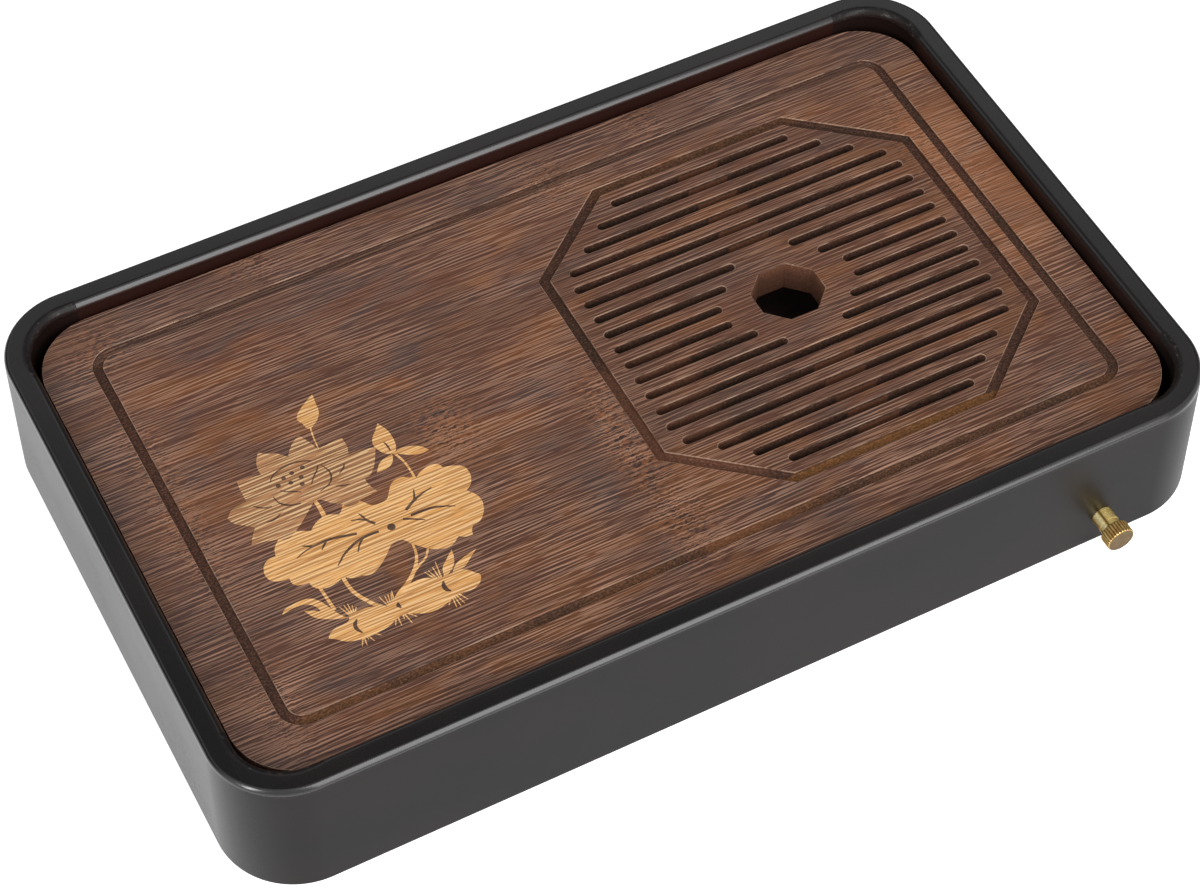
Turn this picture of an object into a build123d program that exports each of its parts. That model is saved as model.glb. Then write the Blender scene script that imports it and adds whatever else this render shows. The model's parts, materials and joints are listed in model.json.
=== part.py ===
from build123d import *

import math
import os

os.makedirs("parts", exist_ok=True)

# Gongfu tea tray, in millimetres. +X runs along the long side towards the drain
# grille, +Y to the rear, +Z up. The origin is the middle of the tray on the plane
# that its four feet rest on.

# Tray frame
wall = 10.8
frame_height = 58.0
wall_draft = 1.2
rim_outer_round = 3.0
rim_inner_round = 2.0
base_round = 1.0
corner_arm = 5.0

# Tea board
board_length = 366.0
board_width = 216.0
board_thickness = 14.0
board_corner_radius = 25.0
board_corner_ease = 7.0
board_edge_chamfer = 0.6
board_side_gap = 1.2
rim_above_board = 7.0
board_lift = 30.0

# Grooves milled in the board's face
rim_groove_width = 3.7
rim_groove_depth = 1.6
rim_groove_left_margin = 20.0
rim_groove_right_margin = 17.0
rim_groove_side_margin = 18.6
rim_groove_corner_radius = 7.5
grille_groove_width = 3.9
grille_groove_depth = 2.0

# Octagonal drain grille
grille_half_length = 80.0
grille_right_margin = 25.0
grille_to_rim_groove = 10.9
grille_end_cut = 39.0
grille_side_cut = 31.5
slot_pitch = 8.04
slot_width = 3.5
slot_inset = 9.6
finger_hole_half_length = 13.2
finger_hole_half_width = 12.4
finger_hole_corner_cut = 7.6
hole_ring_half_length = 26.0
hole_ring_corner_reach = 31.8

# Dowels between the rails and the corner blocks
dowel_radius = 2.5
dowel_length = 20.0
dowel_clearance = 0.1
dowel_low_height = 22.0
dowel_high_height = 44.0

# Floor of the basin
panel_thickness = 4.0
panel_inset = 5.0
panel_side_play = 0.3
panel_top_play = 0.1
panel_above_base = 3.0

# Ledge strips that carry the board
ledge_width = 8.0
ledge_height = 10.0
ledge_slope = 3.0
ledge_nut_clearance = 1.0

# Feet
foot_below_base = 3.0
foot_top_radius = 9.0
foot_base_radius = 8.0
foot_edge_chamfer = 0.6
foot_corner_inset = 24.0

# Drain nozzle, screwed through the front rail
nozzle_from_joint = 16.5
nozzle_above_base = 14.0
nozzle_bore_radius = 1.8
nozzle_shank_radius = 3.0
nozzle_shank_clearance = 0.1
nozzle_neck_radius = 4.1
nozzle_neck_length = 7.6
nozzle_spot_depth = 0.6
nozzle_spot_clearance = 0.1
nozzle_spigot_length = 3.4
nozzle_end_chamfer = 0.3
nozzle_past_nut = 1.0
washer_radius = 5.4
washer_thickness = 1.0
nut_across_flats = 10.0
nut_thickness = 3.0
nut_chamfer = 0.4
nut_clearance = 0.05

# Screw cap and its gasket
cap_radius = 5.5
cap_end_thickness = 1.5
cap_thread_clearance = 0.05
cap_rim_gap = 0.3
cap_chamfer = 0.45
cap_ridge_depth = 0.42
cap_ridges = 28
gasket_thickness = 0.8
gasket_clearance = 0.1
thread_pitch = 1.0
cap_turns = 5

# Run past a face so that a cut goes clean through
overrun = 2.0

# Sizes that follow from the ones above
inner_half_x = board_length / 2 + board_side_gap
inner_half_y = board_width / 2 + board_side_gap
outer_half_y = inner_half_y + wall
inner_corner_radius = board_corner_radius + board_side_gap - board_corner_ease
corner_x = inner_half_x - inner_corner_radius
corner_y = inner_half_y - inner_corner_radius
joint_x = corner_x - corner_arm
joint_y = corner_y - corner_arm
base_z = foot_below_base
rim_z = base_z + frame_height
board_top_z = rim_z - rim_above_board
board_base_z = board_top_z - board_thickness
panel_base_z = base_z + panel_above_base
grille_x = board_length / 2 - grille_right_margin - grille_half_length
grille_half_width = board_width / 2 - rim_groove_side_margin - grille_to_rim_groove
grille_side_half_flat = grille_half_length - grille_end_cut
grille_end_half_flat = grille_half_width - grille_side_cut
half_slot_rows = round((grille_half_width - slot_inset) / slot_pitch)
dowel_out = (wall - wall_draft / 2) / 2
nozzle_x = joint_x - nozzle_from_joint
nozzle_z = base_z + nozzle_above_base
shoulder_y = -(outer_half_y - nozzle_spot_depth)
neck_end_y = shoulder_y - nozzle_neck_length
spigot_end_y = neck_end_y - nozzle_spigot_length
nut_y = -inner_half_y + washer_thickness
shank_end_y = nut_y + nut_thickness + nozzle_past_nut
gasket_end_y = spigot_end_y - gasket_thickness
cap_rim_y = neck_end_y - cap_rim_gap
cap_end_y = gasket_end_y - cap_end_thickness


def draw_rail_section():
    """Draw the frame's moulding: x outwards from the inner wall, y up."""
    with BuildLine() as outline:
        Polyline(
            (0, base_z),
            (wall, base_z),
            (wall - wall_draft, rim_z),
            (0, rim_z),
            close=True,
        )
    make_face(outline.edges())
    fillet(vertices().sort_by(Axis.X)[-1], radius=base_round)
    rim_points = vertices().group_by(Axis.Y)[-1].sort_by(Axis.X)
    fillet(rim_points[-1], radius=rim_outer_round)
    rim_points = vertices().group_by(Axis.Y)[-1].sort_by(Axis.X)
    fillet(rim_points[0], radius=rim_inner_round)
    # Groove that takes the edge of the basin floor
    groove_height = panel_thickness + panel_top_play
    with Locations((panel_inset / 2, panel_base_z + groove_height / 2)):
        Rectangle(panel_inset, groove_height, mode=Mode.SUBTRACT)


def section_plane(x, y, outwards):
    """Give the upright plane through (x, y) whose own x axis points outwards."""
    out_x, out_y = outwards
    return Plane(origin=(x, y, 0), x_dir=(out_x, out_y, 0), z_dir=(out_y, -out_x, 0))


def drill_dowel_holes():
    """Cut every dowel's hole from the piece that is being made."""
    for place in dowel_places:
        with Locations(place):
            Cylinder(dowel_radius + dowel_clearance, dowel_length, mode=Mode.SUBTRACT)


def add_ring(inner_radius, outer_radius, start_y, end_y):
    """Add a round body on the nozzle's axis, from start_y out to end_y."""
    plane = Plane(origin=(nozzle_x, start_y, nozzle_z), z_dir=(0, -1, 0))
    with BuildSketch(plane) as ring:
        Circle(outer_radius)
        if inner_radius:
            Circle(inner_radius, mode=Mode.SUBTRACT)
    extrude(ring.sketch, amount=start_y - end_y)


def bore_out(radius, start_y, end_y):
    """Cut a round hole on the nozzle's axis, from start_y out to end_y."""
    plane = Plane(origin=(nozzle_x, start_y, nozzle_z), z_dir=(0, -1, 0))
    with BuildSketch(plane) as hole:
        Circle(radius)
    extrude(hole.sketch, amount=start_y - end_y, mode=Mode.SUBTRACT)


def grille_half_length_at(y):
    """Give how far a slot reaches from the grille's middle at height y in plan."""
    slant = math.hypot(grille_side_cut, grille_end_cut) / grille_side_cut
    across = (grille_half_width - abs(y)) * grille_end_cut / grille_side_cut
    reach = grille_side_half_flat + across - slot_inset * slant
    return min(grille_half_length - slot_inset, reach)


def hole_ring_half_length_at(y):
    """Give how much a slot leaves free each side of the finger hole at height y."""
    return min(hole_ring_half_length, hole_ring_corner_reach - abs(y))


def slot_spans(y):
    """Give the start and end of each slot in the row at y, from the grille's middle."""
    reach = grille_half_length_at(y)
    if abs(y) > hole_ring_half_length:
        return [(-reach, reach)]
    free = hole_ring_half_length_at(y)
    return [(-reach, -free), (free, reach)]


def draw_octagon(half_length, half_width, side_half_flat, end_half_flat):
    """Draw an octagon about the grille's middle."""
    with BuildLine() as outline:
        Polyline(
            (grille_x + side_half_flat, half_width),
            (grille_x + half_length, end_half_flat),
            (grille_x + half_length, -end_half_flat),
            (grille_x + side_half_flat, -half_width),
            (grille_x - side_half_flat, -half_width),
            (grille_x - half_length, -end_half_flat),
            (grille_x - half_length, end_half_flat),
            (grille_x - side_half_flat, half_width),
            close=True,
        )
    make_face(outline.edges())


# Each dowel lies across a joint, half in a rail and half in a corner block
dowel_places = []
for side_x in (-1, 1):
    for side_y in (-1, 1):
        for height in (dowel_low_height, dowel_high_height):
            dowel_z = base_z + height
            across_x = (side_x * joint_x, side_y * (inner_half_y + dowel_out), dowel_z)
            across_y = (side_x * (inner_half_x + dowel_out), side_y * joint_y, dowel_z)
            dowel_places.append(Location(across_x, (0, 90, 0)))
            dowel_places.append(Location(across_y, (90, 0, 0)))

# Rails: one moulding, cut to four lengths
rail_sides = {
    "rail_front": ((0, -1), joint_x),
    "rail_rear": ((0, 1), joint_x),
    "rail_left": ((-1, 0), joint_y),
    "rail_right": ((1, 0), joint_y),
}
for rail_name, (outwards, half_run) in rail_sides.items():
    foot_x = outwards[0] * inner_half_x
    foot_y = outwards[1] * inner_half_y
    with BuildPart() as rail:
        with BuildSketch(section_plane(foot_x, foot_y, outwards)):
            draw_rail_section()
        extrude(amount=half_run, both=True)
        drill_dowel_holes()
        if rail_name == "rail_front":
            bore_radius = nozzle_shank_radius + nozzle_shank_clearance
            spot_radius = nozzle_neck_radius + nozzle_spot_clearance
            bore_out(bore_radius, -inner_half_y + overrun, -outer_half_y - overrun)
            bore_out(spot_radius, shoulder_y, -outer_half_y - overrun)
    rail.part.label = rail_name
    export_step(rail.part, f"parts/{rail_name}.step")

# Corner blocks: the same moulding turned round each corner, with a short arm each way
corner_sides = {
    "corner_front_left": (-1, -1),
    "corner_front_right": (1, -1),
    "corner_rear_left": (-1, 1),
    "corner_rear_right": (1, 1),
}
for corner_name, (side_x, side_y) in corner_sides.items():
    hand = side_x * side_y
    middle = (side_x * corner_x, side_y * corner_y, 0)
    end_plane = section_plane(side_x * corner_x, side_y * inner_half_y, (0, side_y))
    side_plane = section_plane(side_x * inner_half_x, side_y * corner_y, (side_x, 0))
    with BuildPart() as corner:
        with BuildSketch(end_plane) as end_section:
            draw_rail_section()
        revolve(axis=Axis(middle, (0, 0, -hand)), revolution_arc=90)
        with BuildSketch(end_plane):
            draw_rail_section()
        extrude(amount=-hand * corner_arm)
        with BuildSketch(side_plane):
            draw_rail_section()
        extrude(amount=hand * corner_arm)
        drill_dowel_holes()
    corner.part.label = corner_name
    export_step(corner.part, f"parts/{corner_name}.step")

with BuildPart() as corner_dowels:
    for place in dowel_places:
        with Locations(place):
            Cylinder(dowel_radius, dowel_length)
corner_dowels.part.label = "corner_dowels"
export_step(corner_dowels.part, "parts/corner_dowels.step")

# Basin floor, held in the groove all round
panel_reach = panel_inset - panel_side_play
with BuildPart() as bottom_panel:
    with BuildSketch(Plane.XY.offset(panel_base_z)):
        RectangleRounded(
            2 * (inner_half_x + panel_reach),
            2 * (inner_half_y + panel_reach),
            inner_corner_radius + panel_reach,
        )
    extrude(amount=panel_thickness)
bottom_panel.part.label = "bottom_panel"
export_step(bottom_panel.part, "parts/bottom_panel.step")

# Ledge strips along the straight rails, sloped below so that water runs off
for rail_name, (outwards, half_run) in rail_sides.items():
    ledge_name = rail_name.replace("rail", "ledge")
    foot_x = outwards[0] * inner_half_x
    foot_y = outwards[1] * inner_half_y
    with BuildPart() as ledge:
        with BuildSketch(section_plane(foot_x, foot_y, outwards)):
            with BuildLine():
                Polyline(
                    (0, board_base_z),
                    (-ledge_width, board_base_z),
                    (-ledge_width, board_base_z - ledge_height + ledge_slope),
                    (-ledge_width + ledge_slope, board_base_z - ledge_height),
                    (0, board_base_z - ledge_height),
                    close=True,
                )
            make_face()
        extrude(amount=half_run, both=True)
        # Where the frame is low, the front strip is notched over the lock nut
        if rail_name == "rail_front":
            nut_corner_radius = nut_across_flats / math.sqrt(3)
            notch_start_y = -inner_half_y + ledge_width + overrun
            notch_radius = nut_corner_radius + ledge_nut_clearance
            bore_out(notch_radius, notch_start_y, -inner_half_y - overrun)
    ledge.part.label = ledge_name
    export_step(ledge.part, f"parts/{ledge_name}.step")

# Rubber feet, glued under the basin floor near the corners
for foot_name, (side_x, side_y) in corner_sides.items():
    foot_name = foot_name.replace("corner", "foot")
    foot_x = side_x * (inner_half_x - foot_corner_inset)
    foot_y = side_y * (inner_half_y - foot_corner_inset)
    with BuildPart() as foot:
        with BuildSketch(Plane.XY):
            with Locations((foot_x, foot_y)):
                Circle(foot_base_radius)
        with BuildSketch(Plane.XY.offset(panel_base_z)):
            with Locations((foot_x, foot_y)):
                Circle(foot_top_radius)
        loft()
        chamfer(foot.edges().group_by(Axis.Z)[0], length=foot_edge_chamfer)
    foot.part.label = foot_name
    export_step(foot.part, f"parts/{foot_name}.step")

# Tea board: slotted octagonal grille, grooves and finger hole
with BuildPart() as tea_board:
    with BuildSketch(Plane.XY.offset(board_base_z)):
        RectangleRounded(board_length, board_width, board_corner_radius)
    extrude(amount=board_thickness)
    chamfer(tea_board.edges().group_by(Axis.Z)[-1], length=board_edge_chamfer)
    # Slots in rows, each ending on an octagon inside the groove
    with BuildSketch(Plane.XY.offset(board_base_z - overrun)):
        for row in range(-half_slot_rows, half_slot_rows):
            row_y = row * slot_pitch + slot_pitch / 2
            for start, end in slot_spans(row_y):
                with Locations((grille_x + (start + end) / 2, row_y)):
                    SlotOverall(end - start, slot_width)
    extrude(amount=board_thickness + 2 * overrun, mode=Mode.SUBTRACT)
    # Octagonal hole that a finger lifts the board by
    with BuildSketch(Plane.XY.offset(board_base_z - overrun)):
        draw_octagon(
            finger_hole_half_length,
            finger_hole_half_width,
            finger_hole_half_length - finger_hole_corner_cut,
            finger_hole_half_width - finger_hole_corner_cut,
        )
    extrude(amount=board_thickness + 2 * overrun, mode=Mode.SUBTRACT)
    # Groove round the grille
    with BuildSketch(Plane.XY.offset(board_top_z)):
        draw_octagon(
            grille_half_length,
            grille_half_width,
            grille_side_half_flat,
            grille_end_half_flat,
        )
        offset(amount=-grille_groove_width, kind=Kind.INTERSECTION, mode=Mode.SUBTRACT)
    extrude(amount=-grille_groove_depth, mode=Mode.SUBTRACT)
    # Groove round the board's edge
    groove_left = -board_length / 2 + rim_groove_left_margin
    groove_right = board_length / 2 - rim_groove_right_margin
    groove_middle_x = (groove_left + groove_right) / 2
    groove_length = groove_right - groove_left
    groove_run = board_width - 2 * rim_groove_side_margin
    outer_radius = rim_groove_corner_radius + rim_groove_width / 2
    with BuildSketch(Plane.XY.offset(board_top_z)):
        with Locations((groove_middle_x, 0)):
            RectangleRounded(
                groove_length + rim_groove_width,
                groove_run + rim_groove_width,
                outer_radius,
            )
            RectangleRounded(
                groove_length - rim_groove_width,
                groove_run - rim_groove_width,
                outer_radius - rim_groove_width,
                mode=Mode.SUBTRACT,
            )
    extrude(amount=-rim_groove_depth, mode=Mode.SUBTRACT)
tea_board.part.label = "tea_board"
export_step(tea_board.part, "parts/tea_board.step")

# Brass nozzle: shank through the wall, neck outside, threaded spigot for the cap
with BuildPart() as nozzle:
    add_ring(0, nozzle_shank_radius, shank_end_y, shoulder_y)
    add_ring(0, nozzle_neck_radius, shoulder_y, neck_end_y)
    add_ring(0, nozzle_shank_radius, neck_end_y, spigot_end_y)
    ends = nozzle.edges().filter_by(GeomType.CIRCLE).sort_by(Axis.Y)
    chamfer([ends[0], ends[-1]], length=nozzle_end_chamfer)
    bore_out(nozzle_bore_radius, shank_end_y + overrun, spigot_end_y - overrun)
nozzle.part.label = "nozzle"
export_step(nozzle.part, "parts/nozzle.step")

with BuildPart() as nozzle_washer:
    washer_hole = nozzle_shank_radius + nut_clearance
    add_ring(washer_hole, washer_radius, nut_y, -inner_half_y)
nozzle_washer.part.label = "nozzle_washer"
export_step(nozzle_washer.part, "parts/nozzle_washer.step")

# Hexagonal lock nut inside the basin
with BuildPart() as nozzle_lock_nut:
    nut_plane = Plane(origin=(nozzle_x, nut_y, nozzle_z), z_dir=(0, 1, 0))
    with BuildSketch(nut_plane):
        RegularPolygon(nut_across_flats / 2, 6, major_radius=False)
    extrude(amount=nut_thickness)
    nut_rims = nozzle_lock_nut.faces().sort_by(Axis.Y)
    chamfer(nut_rims[-1].edges(), length=nut_chamfer)
    bore_out(nozzle_shank_radius + nut_clearance, nut_y + nut_thickness + overrun, nut_y - overrun)
nozzle_lock_nut.part.label = "nozzle_lock_nut"
export_step(nozzle_lock_nut.part, "parts/nozzle_lock_nut.step")

with BuildPart() as cap_gasket:
    gasket_radius = nozzle_shank_radius + cap_thread_clearance - gasket_clearance
    add_ring(0, gasket_radius, spigot_end_y, gasket_end_y)
cap_gasket.part.label = "cap_gasket"
export_step(cap_gasket.part, "parts/cap_gasket.step")

# Cap with a straight knurl all round, blind bore and closed end
with BuildPart() as cap:
    cap_plane = Plane(origin=(nozzle_x, cap_rim_y, nozzle_z), z_dir=(0, -1, 0))
    ridge_points = []
    for step in range(2 * cap_ridges):
        angle = math.pi * step / cap_ridges
        reach = cap_radius - (step % 2) * cap_ridge_depth
        ridge_points.append((reach * math.cos(angle), reach * math.sin(angle)))
    add_ring(0, cap_radius, cap_rim_y, cap_end_y)
    chamfer(cap.edges().filter_by(GeomType.CIRCLE), length=cap_chamfer)
    with BuildSketch(cap_plane):
        with BuildLine():
            Polyline(*ridge_points, close=True)
        make_face()
    extrude(amount=cap_rim_y - cap_end_y, mode=Mode.INTERSECT)
    bore_out(nozzle_shank_radius + cap_thread_clearance, cap_rim_y + overrun, gasket_end_y)
cap.part.label = "cap"
export_step(cap.part, "parts/cap.step")

print("board lift", board_lift, "cap travel", cap_turns * thread_pitch)
print("slot rows", 2 * half_slot_rows, "grille at", grille_x, "nozzle at", nozzle_x)
print("board top", board_top_z, "rim", rim_z)
print("shoulder, neck end, spigot end", shoulder_y, neck_end_y, spigot_end_y)
print("cap rim and end", cap_rim_y, cap_end_y, "overall front", cap_end_y)
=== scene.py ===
"""Gongfu tea tray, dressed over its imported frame.

Every piece is modelled in metres in the frame's own axes: X along the long side
towards the grille, Y to the rear, Z up, with the feet on Z = 0.
"""
import json
import logging
import math
from collections.abc import Callable, Iterable, Sequence
from dataclasses import dataclass
from enum import Enum

import bmesh
import bpy
from mathutils import Matrix, Vector

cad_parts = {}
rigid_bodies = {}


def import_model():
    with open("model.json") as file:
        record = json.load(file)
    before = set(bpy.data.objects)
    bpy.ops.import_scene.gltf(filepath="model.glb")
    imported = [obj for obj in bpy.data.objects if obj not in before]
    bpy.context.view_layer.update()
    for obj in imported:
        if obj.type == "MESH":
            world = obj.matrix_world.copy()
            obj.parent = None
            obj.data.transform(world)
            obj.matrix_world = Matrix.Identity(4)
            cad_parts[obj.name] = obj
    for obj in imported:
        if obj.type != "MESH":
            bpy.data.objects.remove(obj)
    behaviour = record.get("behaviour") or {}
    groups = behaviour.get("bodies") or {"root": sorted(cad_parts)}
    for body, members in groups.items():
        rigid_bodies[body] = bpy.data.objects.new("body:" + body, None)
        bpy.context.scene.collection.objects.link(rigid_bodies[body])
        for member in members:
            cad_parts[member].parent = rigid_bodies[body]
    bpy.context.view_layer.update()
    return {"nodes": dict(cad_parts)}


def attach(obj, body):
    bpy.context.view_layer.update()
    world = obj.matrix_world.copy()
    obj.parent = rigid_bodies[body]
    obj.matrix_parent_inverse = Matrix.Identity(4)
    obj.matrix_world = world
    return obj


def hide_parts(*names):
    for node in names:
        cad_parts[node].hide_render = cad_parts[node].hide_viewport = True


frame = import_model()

log = logging.getLogger("tea_tray")
MM = 0.001
FINE_STEPS = 96
STEPS = 64
UPRIGHT = (math.pi / 2, 0.0, 0.0)
Point = tuple[float, float, float]
Colour = tuple[float, float, float]


class Body(Enum):
    """The bodies that pieces ride on."""

    TRAY = "tray"
    BOARD = "board"
    GASKET = "gasket"
    CAP = "cap"


class Pick(Enum):
    """What kind of mesh element is picked."""

    VERT = "VERT"
    EDGE = "EDGE"
    FACE = "FACE"


def srgb(red: int, green: int, blue: int) -> Colour:
    """Turns a colour as read on a screen into the linear one that shaders take.

    Args:
        red: red from 0 to 255.
        green: green from 0 to 255.
        blue: blue from 0 to 255.

    Returns:
        The linear colour.
    """
    def linear(value: int) -> float:
        """Undoes the screen's curve."""
        share = value / 255
        return share / 12.92 if share <= 0.04045 else ((share + 0.055) / 1.055) ** 2.4
    return linear(red), linear(green), linear(blue)


class Val:
    """A socket in a material, with arithmetic that adds its nodes."""

    def __init__(self, graph: "Graph", socket: bpy.types.NodeSocket) -> None:
        """Wraps an output socket."""
        self.graph = graph
        self.socket = socket

    def math(self, operation: str, *others: "Val | float", clamp: bool = False) -> "Val":
        """Adds a Math node.

        Args:
            operation: the node's operation.
            others: its further inputs.
            clamp: whether the result is held between 0 and 1.

        Returns:
            The node's result.
        """
        inputs = dict(enumerate((self, *others)))
        settings = {"operation": operation, "use_clamp": clamp}
        return self.graph.node("ShaderNodeMath", settings, inputs)

    def __add__(self, other: "Val | float") -> "Val":
        """Adds."""
        return self.math("ADD", other)

    __radd__ = __add__

    def __sub__(self, other: "Val | float") -> "Val":
        """Takes away."""
        return self.math("SUBTRACT", other)

    def __rsub__(self, other: float) -> "Val":
        """Is taken away from a number."""
        settings = {"operation": "SUBTRACT"}
        return self.graph.node("ShaderNodeMath", settings, {0: other, 1: self})

    def __mul__(self, other: "Val | float") -> "Val":
        """Multiplies."""
        return self.math("MULTIPLY", other)

    __rmul__ = __mul__

    def __truediv__(self, other: "Val | float") -> "Val":
        """Divides."""
        return self.math("DIVIDE", other)

    def size(self) -> "Val":
        """Gives the value without its sign."""
        return self.math("ABSOLUTE")

    def most(self, other: "Val | float") -> "Val":
        """Gives the larger of two values."""
        return self.math("MAXIMUM", other)

    def reach(self, other: "Val") -> "Val":
        """Gives the distance from a middle, of which this and the other are the offsets."""
        return (self * self + other * other).math("SQRT")

    def clamp(self) -> "Val":
        """Holds the value between 0 and 1."""
        return self.math("ADD", 0.0, clamp=True)

    def ease(self, low: float, high: float) -> "Val":
        """Goes smoothly from 0 at low to 1 at high, also where low is the larger."""
        settings = {"interpolation_type": "SMOOTHSTEP"}
        if low < high:
            sockets = {"Value": self, "From Min": low, "From Max": high}
            return self.graph.node("ShaderNodeMapRange", settings, sockets)
        sockets = {"Value": self, "From Min": high, "From Max": low, "To Min": 1.0, "To Max": 0.0}
        return self.graph.node("ShaderNodeMapRange", settings, sockets)

    def bump_at(self, centre: float, spread: float) -> "Val":
        """Gives 1 at the centre, and 0 from the spread on."""
        return (self - centre).size().ease(spread, 0.0)


class Graph:
    """A material's or world's node tree."""

    def __init__(self, tree: bpy.types.NodeTree) -> None:
        """Empties the tree."""
        tree.nodes.clear()
        self.tree = tree

    def node(self, kind: str, settings: dict | None = None, sockets: dict | None = None,
             out: str | int = 0) -> Val:
        """Adds any node.

        Args:
            kind: the node's type.
            settings: its own settings, such as an operation, or a ramp's stops.
            sockets: values or links for its inputs, by name or number.
            out: the output that is wanted.

        Returns:
            That output.
        """
        made = self.tree.nodes.new(kind)
        for name, value in (settings or {}).items():
            if name == "stops":
                ramp = made.color_ramp.elements
                while len(ramp) < len(value):
                    ramp.new(0.5)
                for stop, (place, colour) in zip(ramp, value):
                    stop.position = place
                    stop.color = (*colour, 1.0)
            else:
                setattr(made, name, value)
        for name, value in (sockets or {}).items():
            socket = made.inputs[name]
            if isinstance(value, Val):
                self.tree.links.new(value.socket, socket)
            elif isinstance(value, tuple) and socket.type == "RGBA":
                socket.default_value = (*value, 1.0)
            else:
                socket.default_value = value
        return Val(self, made.outputs[out])

    def place(self) -> tuple[Val, Val, Val, Val]:
        """Gives the place on the object in millimetres, as a vector and as x, y and z."""
        raw = self.node("ShaderNodeTexCoord", out="Object")
        sockets = {0: raw, "Scale": 1 / MM}
        scaled = self.node("ShaderNodeVectorMath", {"operation": "SCALE"}, sockets)
        split = self.node("ShaderNodeSeparateXYZ", sockets={0: scaled})
        parts = split.socket.node.outputs
        return scaled, Val(self, parts[0]), Val(self, parts[1]), Val(self, parts[2])

    def stretch(self, vector: Val, scale: Point) -> Val:
        """Multiplies a vector by a scale on each axis."""
        sockets = {0: vector, 1: scale}
        return self.node("ShaderNodeVectorMath", {"operation": "MULTIPLY"}, sockets)

    def noise(self, vector: Val, scale: Point, detail: float = 2.0, rough: float = 0.5,
              twist: float = 0.0) -> Val:
        """Adds soft noise.

        Args:
            vector: the place in millimetres.
            scale: how many blotches there are in a millimetre, on each axis.
            detail: how many finer layers it has.
            rough: how strong those layers are.
            twist: how far the blotches are drawn out of shape.

        Returns:
            A value about 0.5.
        """
        sockets = {"Vector": self.stretch(vector, scale), "Scale": 1.0, "Detail": detail,
                   "Roughness": rough, "Distortion": twist}
        return self.node("ShaderNodeTexNoise", {"normalize": True}, sockets)

    def mix(self, share: "Val | float", first: "Val | Colour", second: "Val | Colour") -> Val:
        """Mixes two colours.

        Args:
            share: how much of the second shows.
            first: the colour below.
            second: the colour above.

        Returns:
            The mixed colour.
        """
        settings = {"data_type": "RGBA", "blend_type": "MIX", "clamp_factor": True}
        sockets = {0: share, 6: first, 7: second}
        return self.node("ShaderNodeMix", settings, sockets, out=2)

    def layers(self, base: "Val | Colour", *coats: "tuple[Val | float, Val | Colour]") -> Val:
        """Lays colours over each other.

        Args:
            base: the lowest colour.
            coats: how much each one shows and its colour, from below.

        Returns:
            The mixed colour.
        """
        for share, colour in coats:
            base = self.mix(share, base, colour)
        return base

    def moved(self, vector: Val, step: "Val | Point") -> Val:
        """Moves a place by a step."""
        return self.node("ShaderNodeVectorMath", {"operation": "ADD"}, {0: vector, 1: step})

    def pushed(self, vector: Val, push: Val) -> Val:
        """Moves a place along Y."""
        return self.moved(vector, self.node("ShaderNodeCombineXYZ", sockets={"Y": push}))

    def bump(self, height: Val, distance: float, strength: float = 1.0,
             normal: Val | None = None) -> Val:
        """Turns a height into a normal.

        Args:
            height: the height, from 0 to 1.
            distance: what a height of 1 is, in metres.
            strength: how strong it shows.
            normal: a normal from another bump.

        Returns:
            The normal.
        """
        sockets = {"Height": height, "Distance": distance, "Strength": strength}
        if normal is not None:
            sockets["Normal"] = normal
        return self.node("ShaderNodeBump", sockets=sockets)


class Finish:
    """What every finish shares: its name, its nodes and the making of its material."""

    name: str

    def dress(self, graph: Graph) -> dict:
        """Adds the nodes, and gives the shader's sockets."""
        raise NotImplementedError

    def make(self) -> bpy.types.Material:
        """Makes the material."""
        material = bpy.data.materials.new(self.name)
        material.use_nodes = True
        graph = Graph(material.node_tree)
        shader = graph.node("ShaderNodeBsdfPrincipled", sockets=self.dress(graph))
        output = material.node_tree.nodes.new("ShaderNodeOutputMaterial")
        material.node_tree.links.new(shader.socket, output.inputs["Surface"])
        return material


@dataclass(frozen=True)
class Fibres:
    """The fine straight fibres of a bamboo board, which run along X."""

    wander_mm: float = 0.15
    step_mm: float = 0.5
    bends: Point = (0.012, 0.03, 0.03)
    fine: tuple[float, float] = (0.06, 1.3)
    thread: tuple[float, float] = (0.05, 1.7)
    strand: Point = (0.03, 0.8, 0.8)

    def crisp(self, graph: Graph, place: Val, along: float, across: float) -> Val:
        """Gives lines without the wide bands that plain noise has, about 0.5.

        Args:
            graph: the material's tree.
            place: the place in millimetres.
            along: the noise's frequency along the fibres.
            across: the noise's frequency across them.

        Returns:
            The lines.
        """
        scale = (along, across, across)
        beside = graph.moved(place, (0.0, self.step_mm, 0.0))
        lines = graph.noise(place, scale, 0.0) - graph.noise(beside, scale, 0.0)
        return lines * 0.7 + 0.5

    def draw(self, graph: Graph, place: Val) -> tuple[Val, Val, Val, Val]:
        """Draws the fibres, which wander a little across the board.

        Args:
            graph: the material's tree.
            place: the place in millimetres.

        Returns:
            The place as the fibres wander, then the finest fibres, single pale threads and
            the wider strands that they lie in, each about 0.5.
        """
        push = (graph.noise(place, self.bends, 1.0) - 0.5) * (2 * self.wander_mm)
        grain = graph.pushed(place, push)
        fine = self.crisp(graph, grain, *self.fine)
        threads = self.crisp(graph, grain, *self.thread)
        return grain, fine, threads, graph.noise(grain, self.strand, 0.0)


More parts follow.
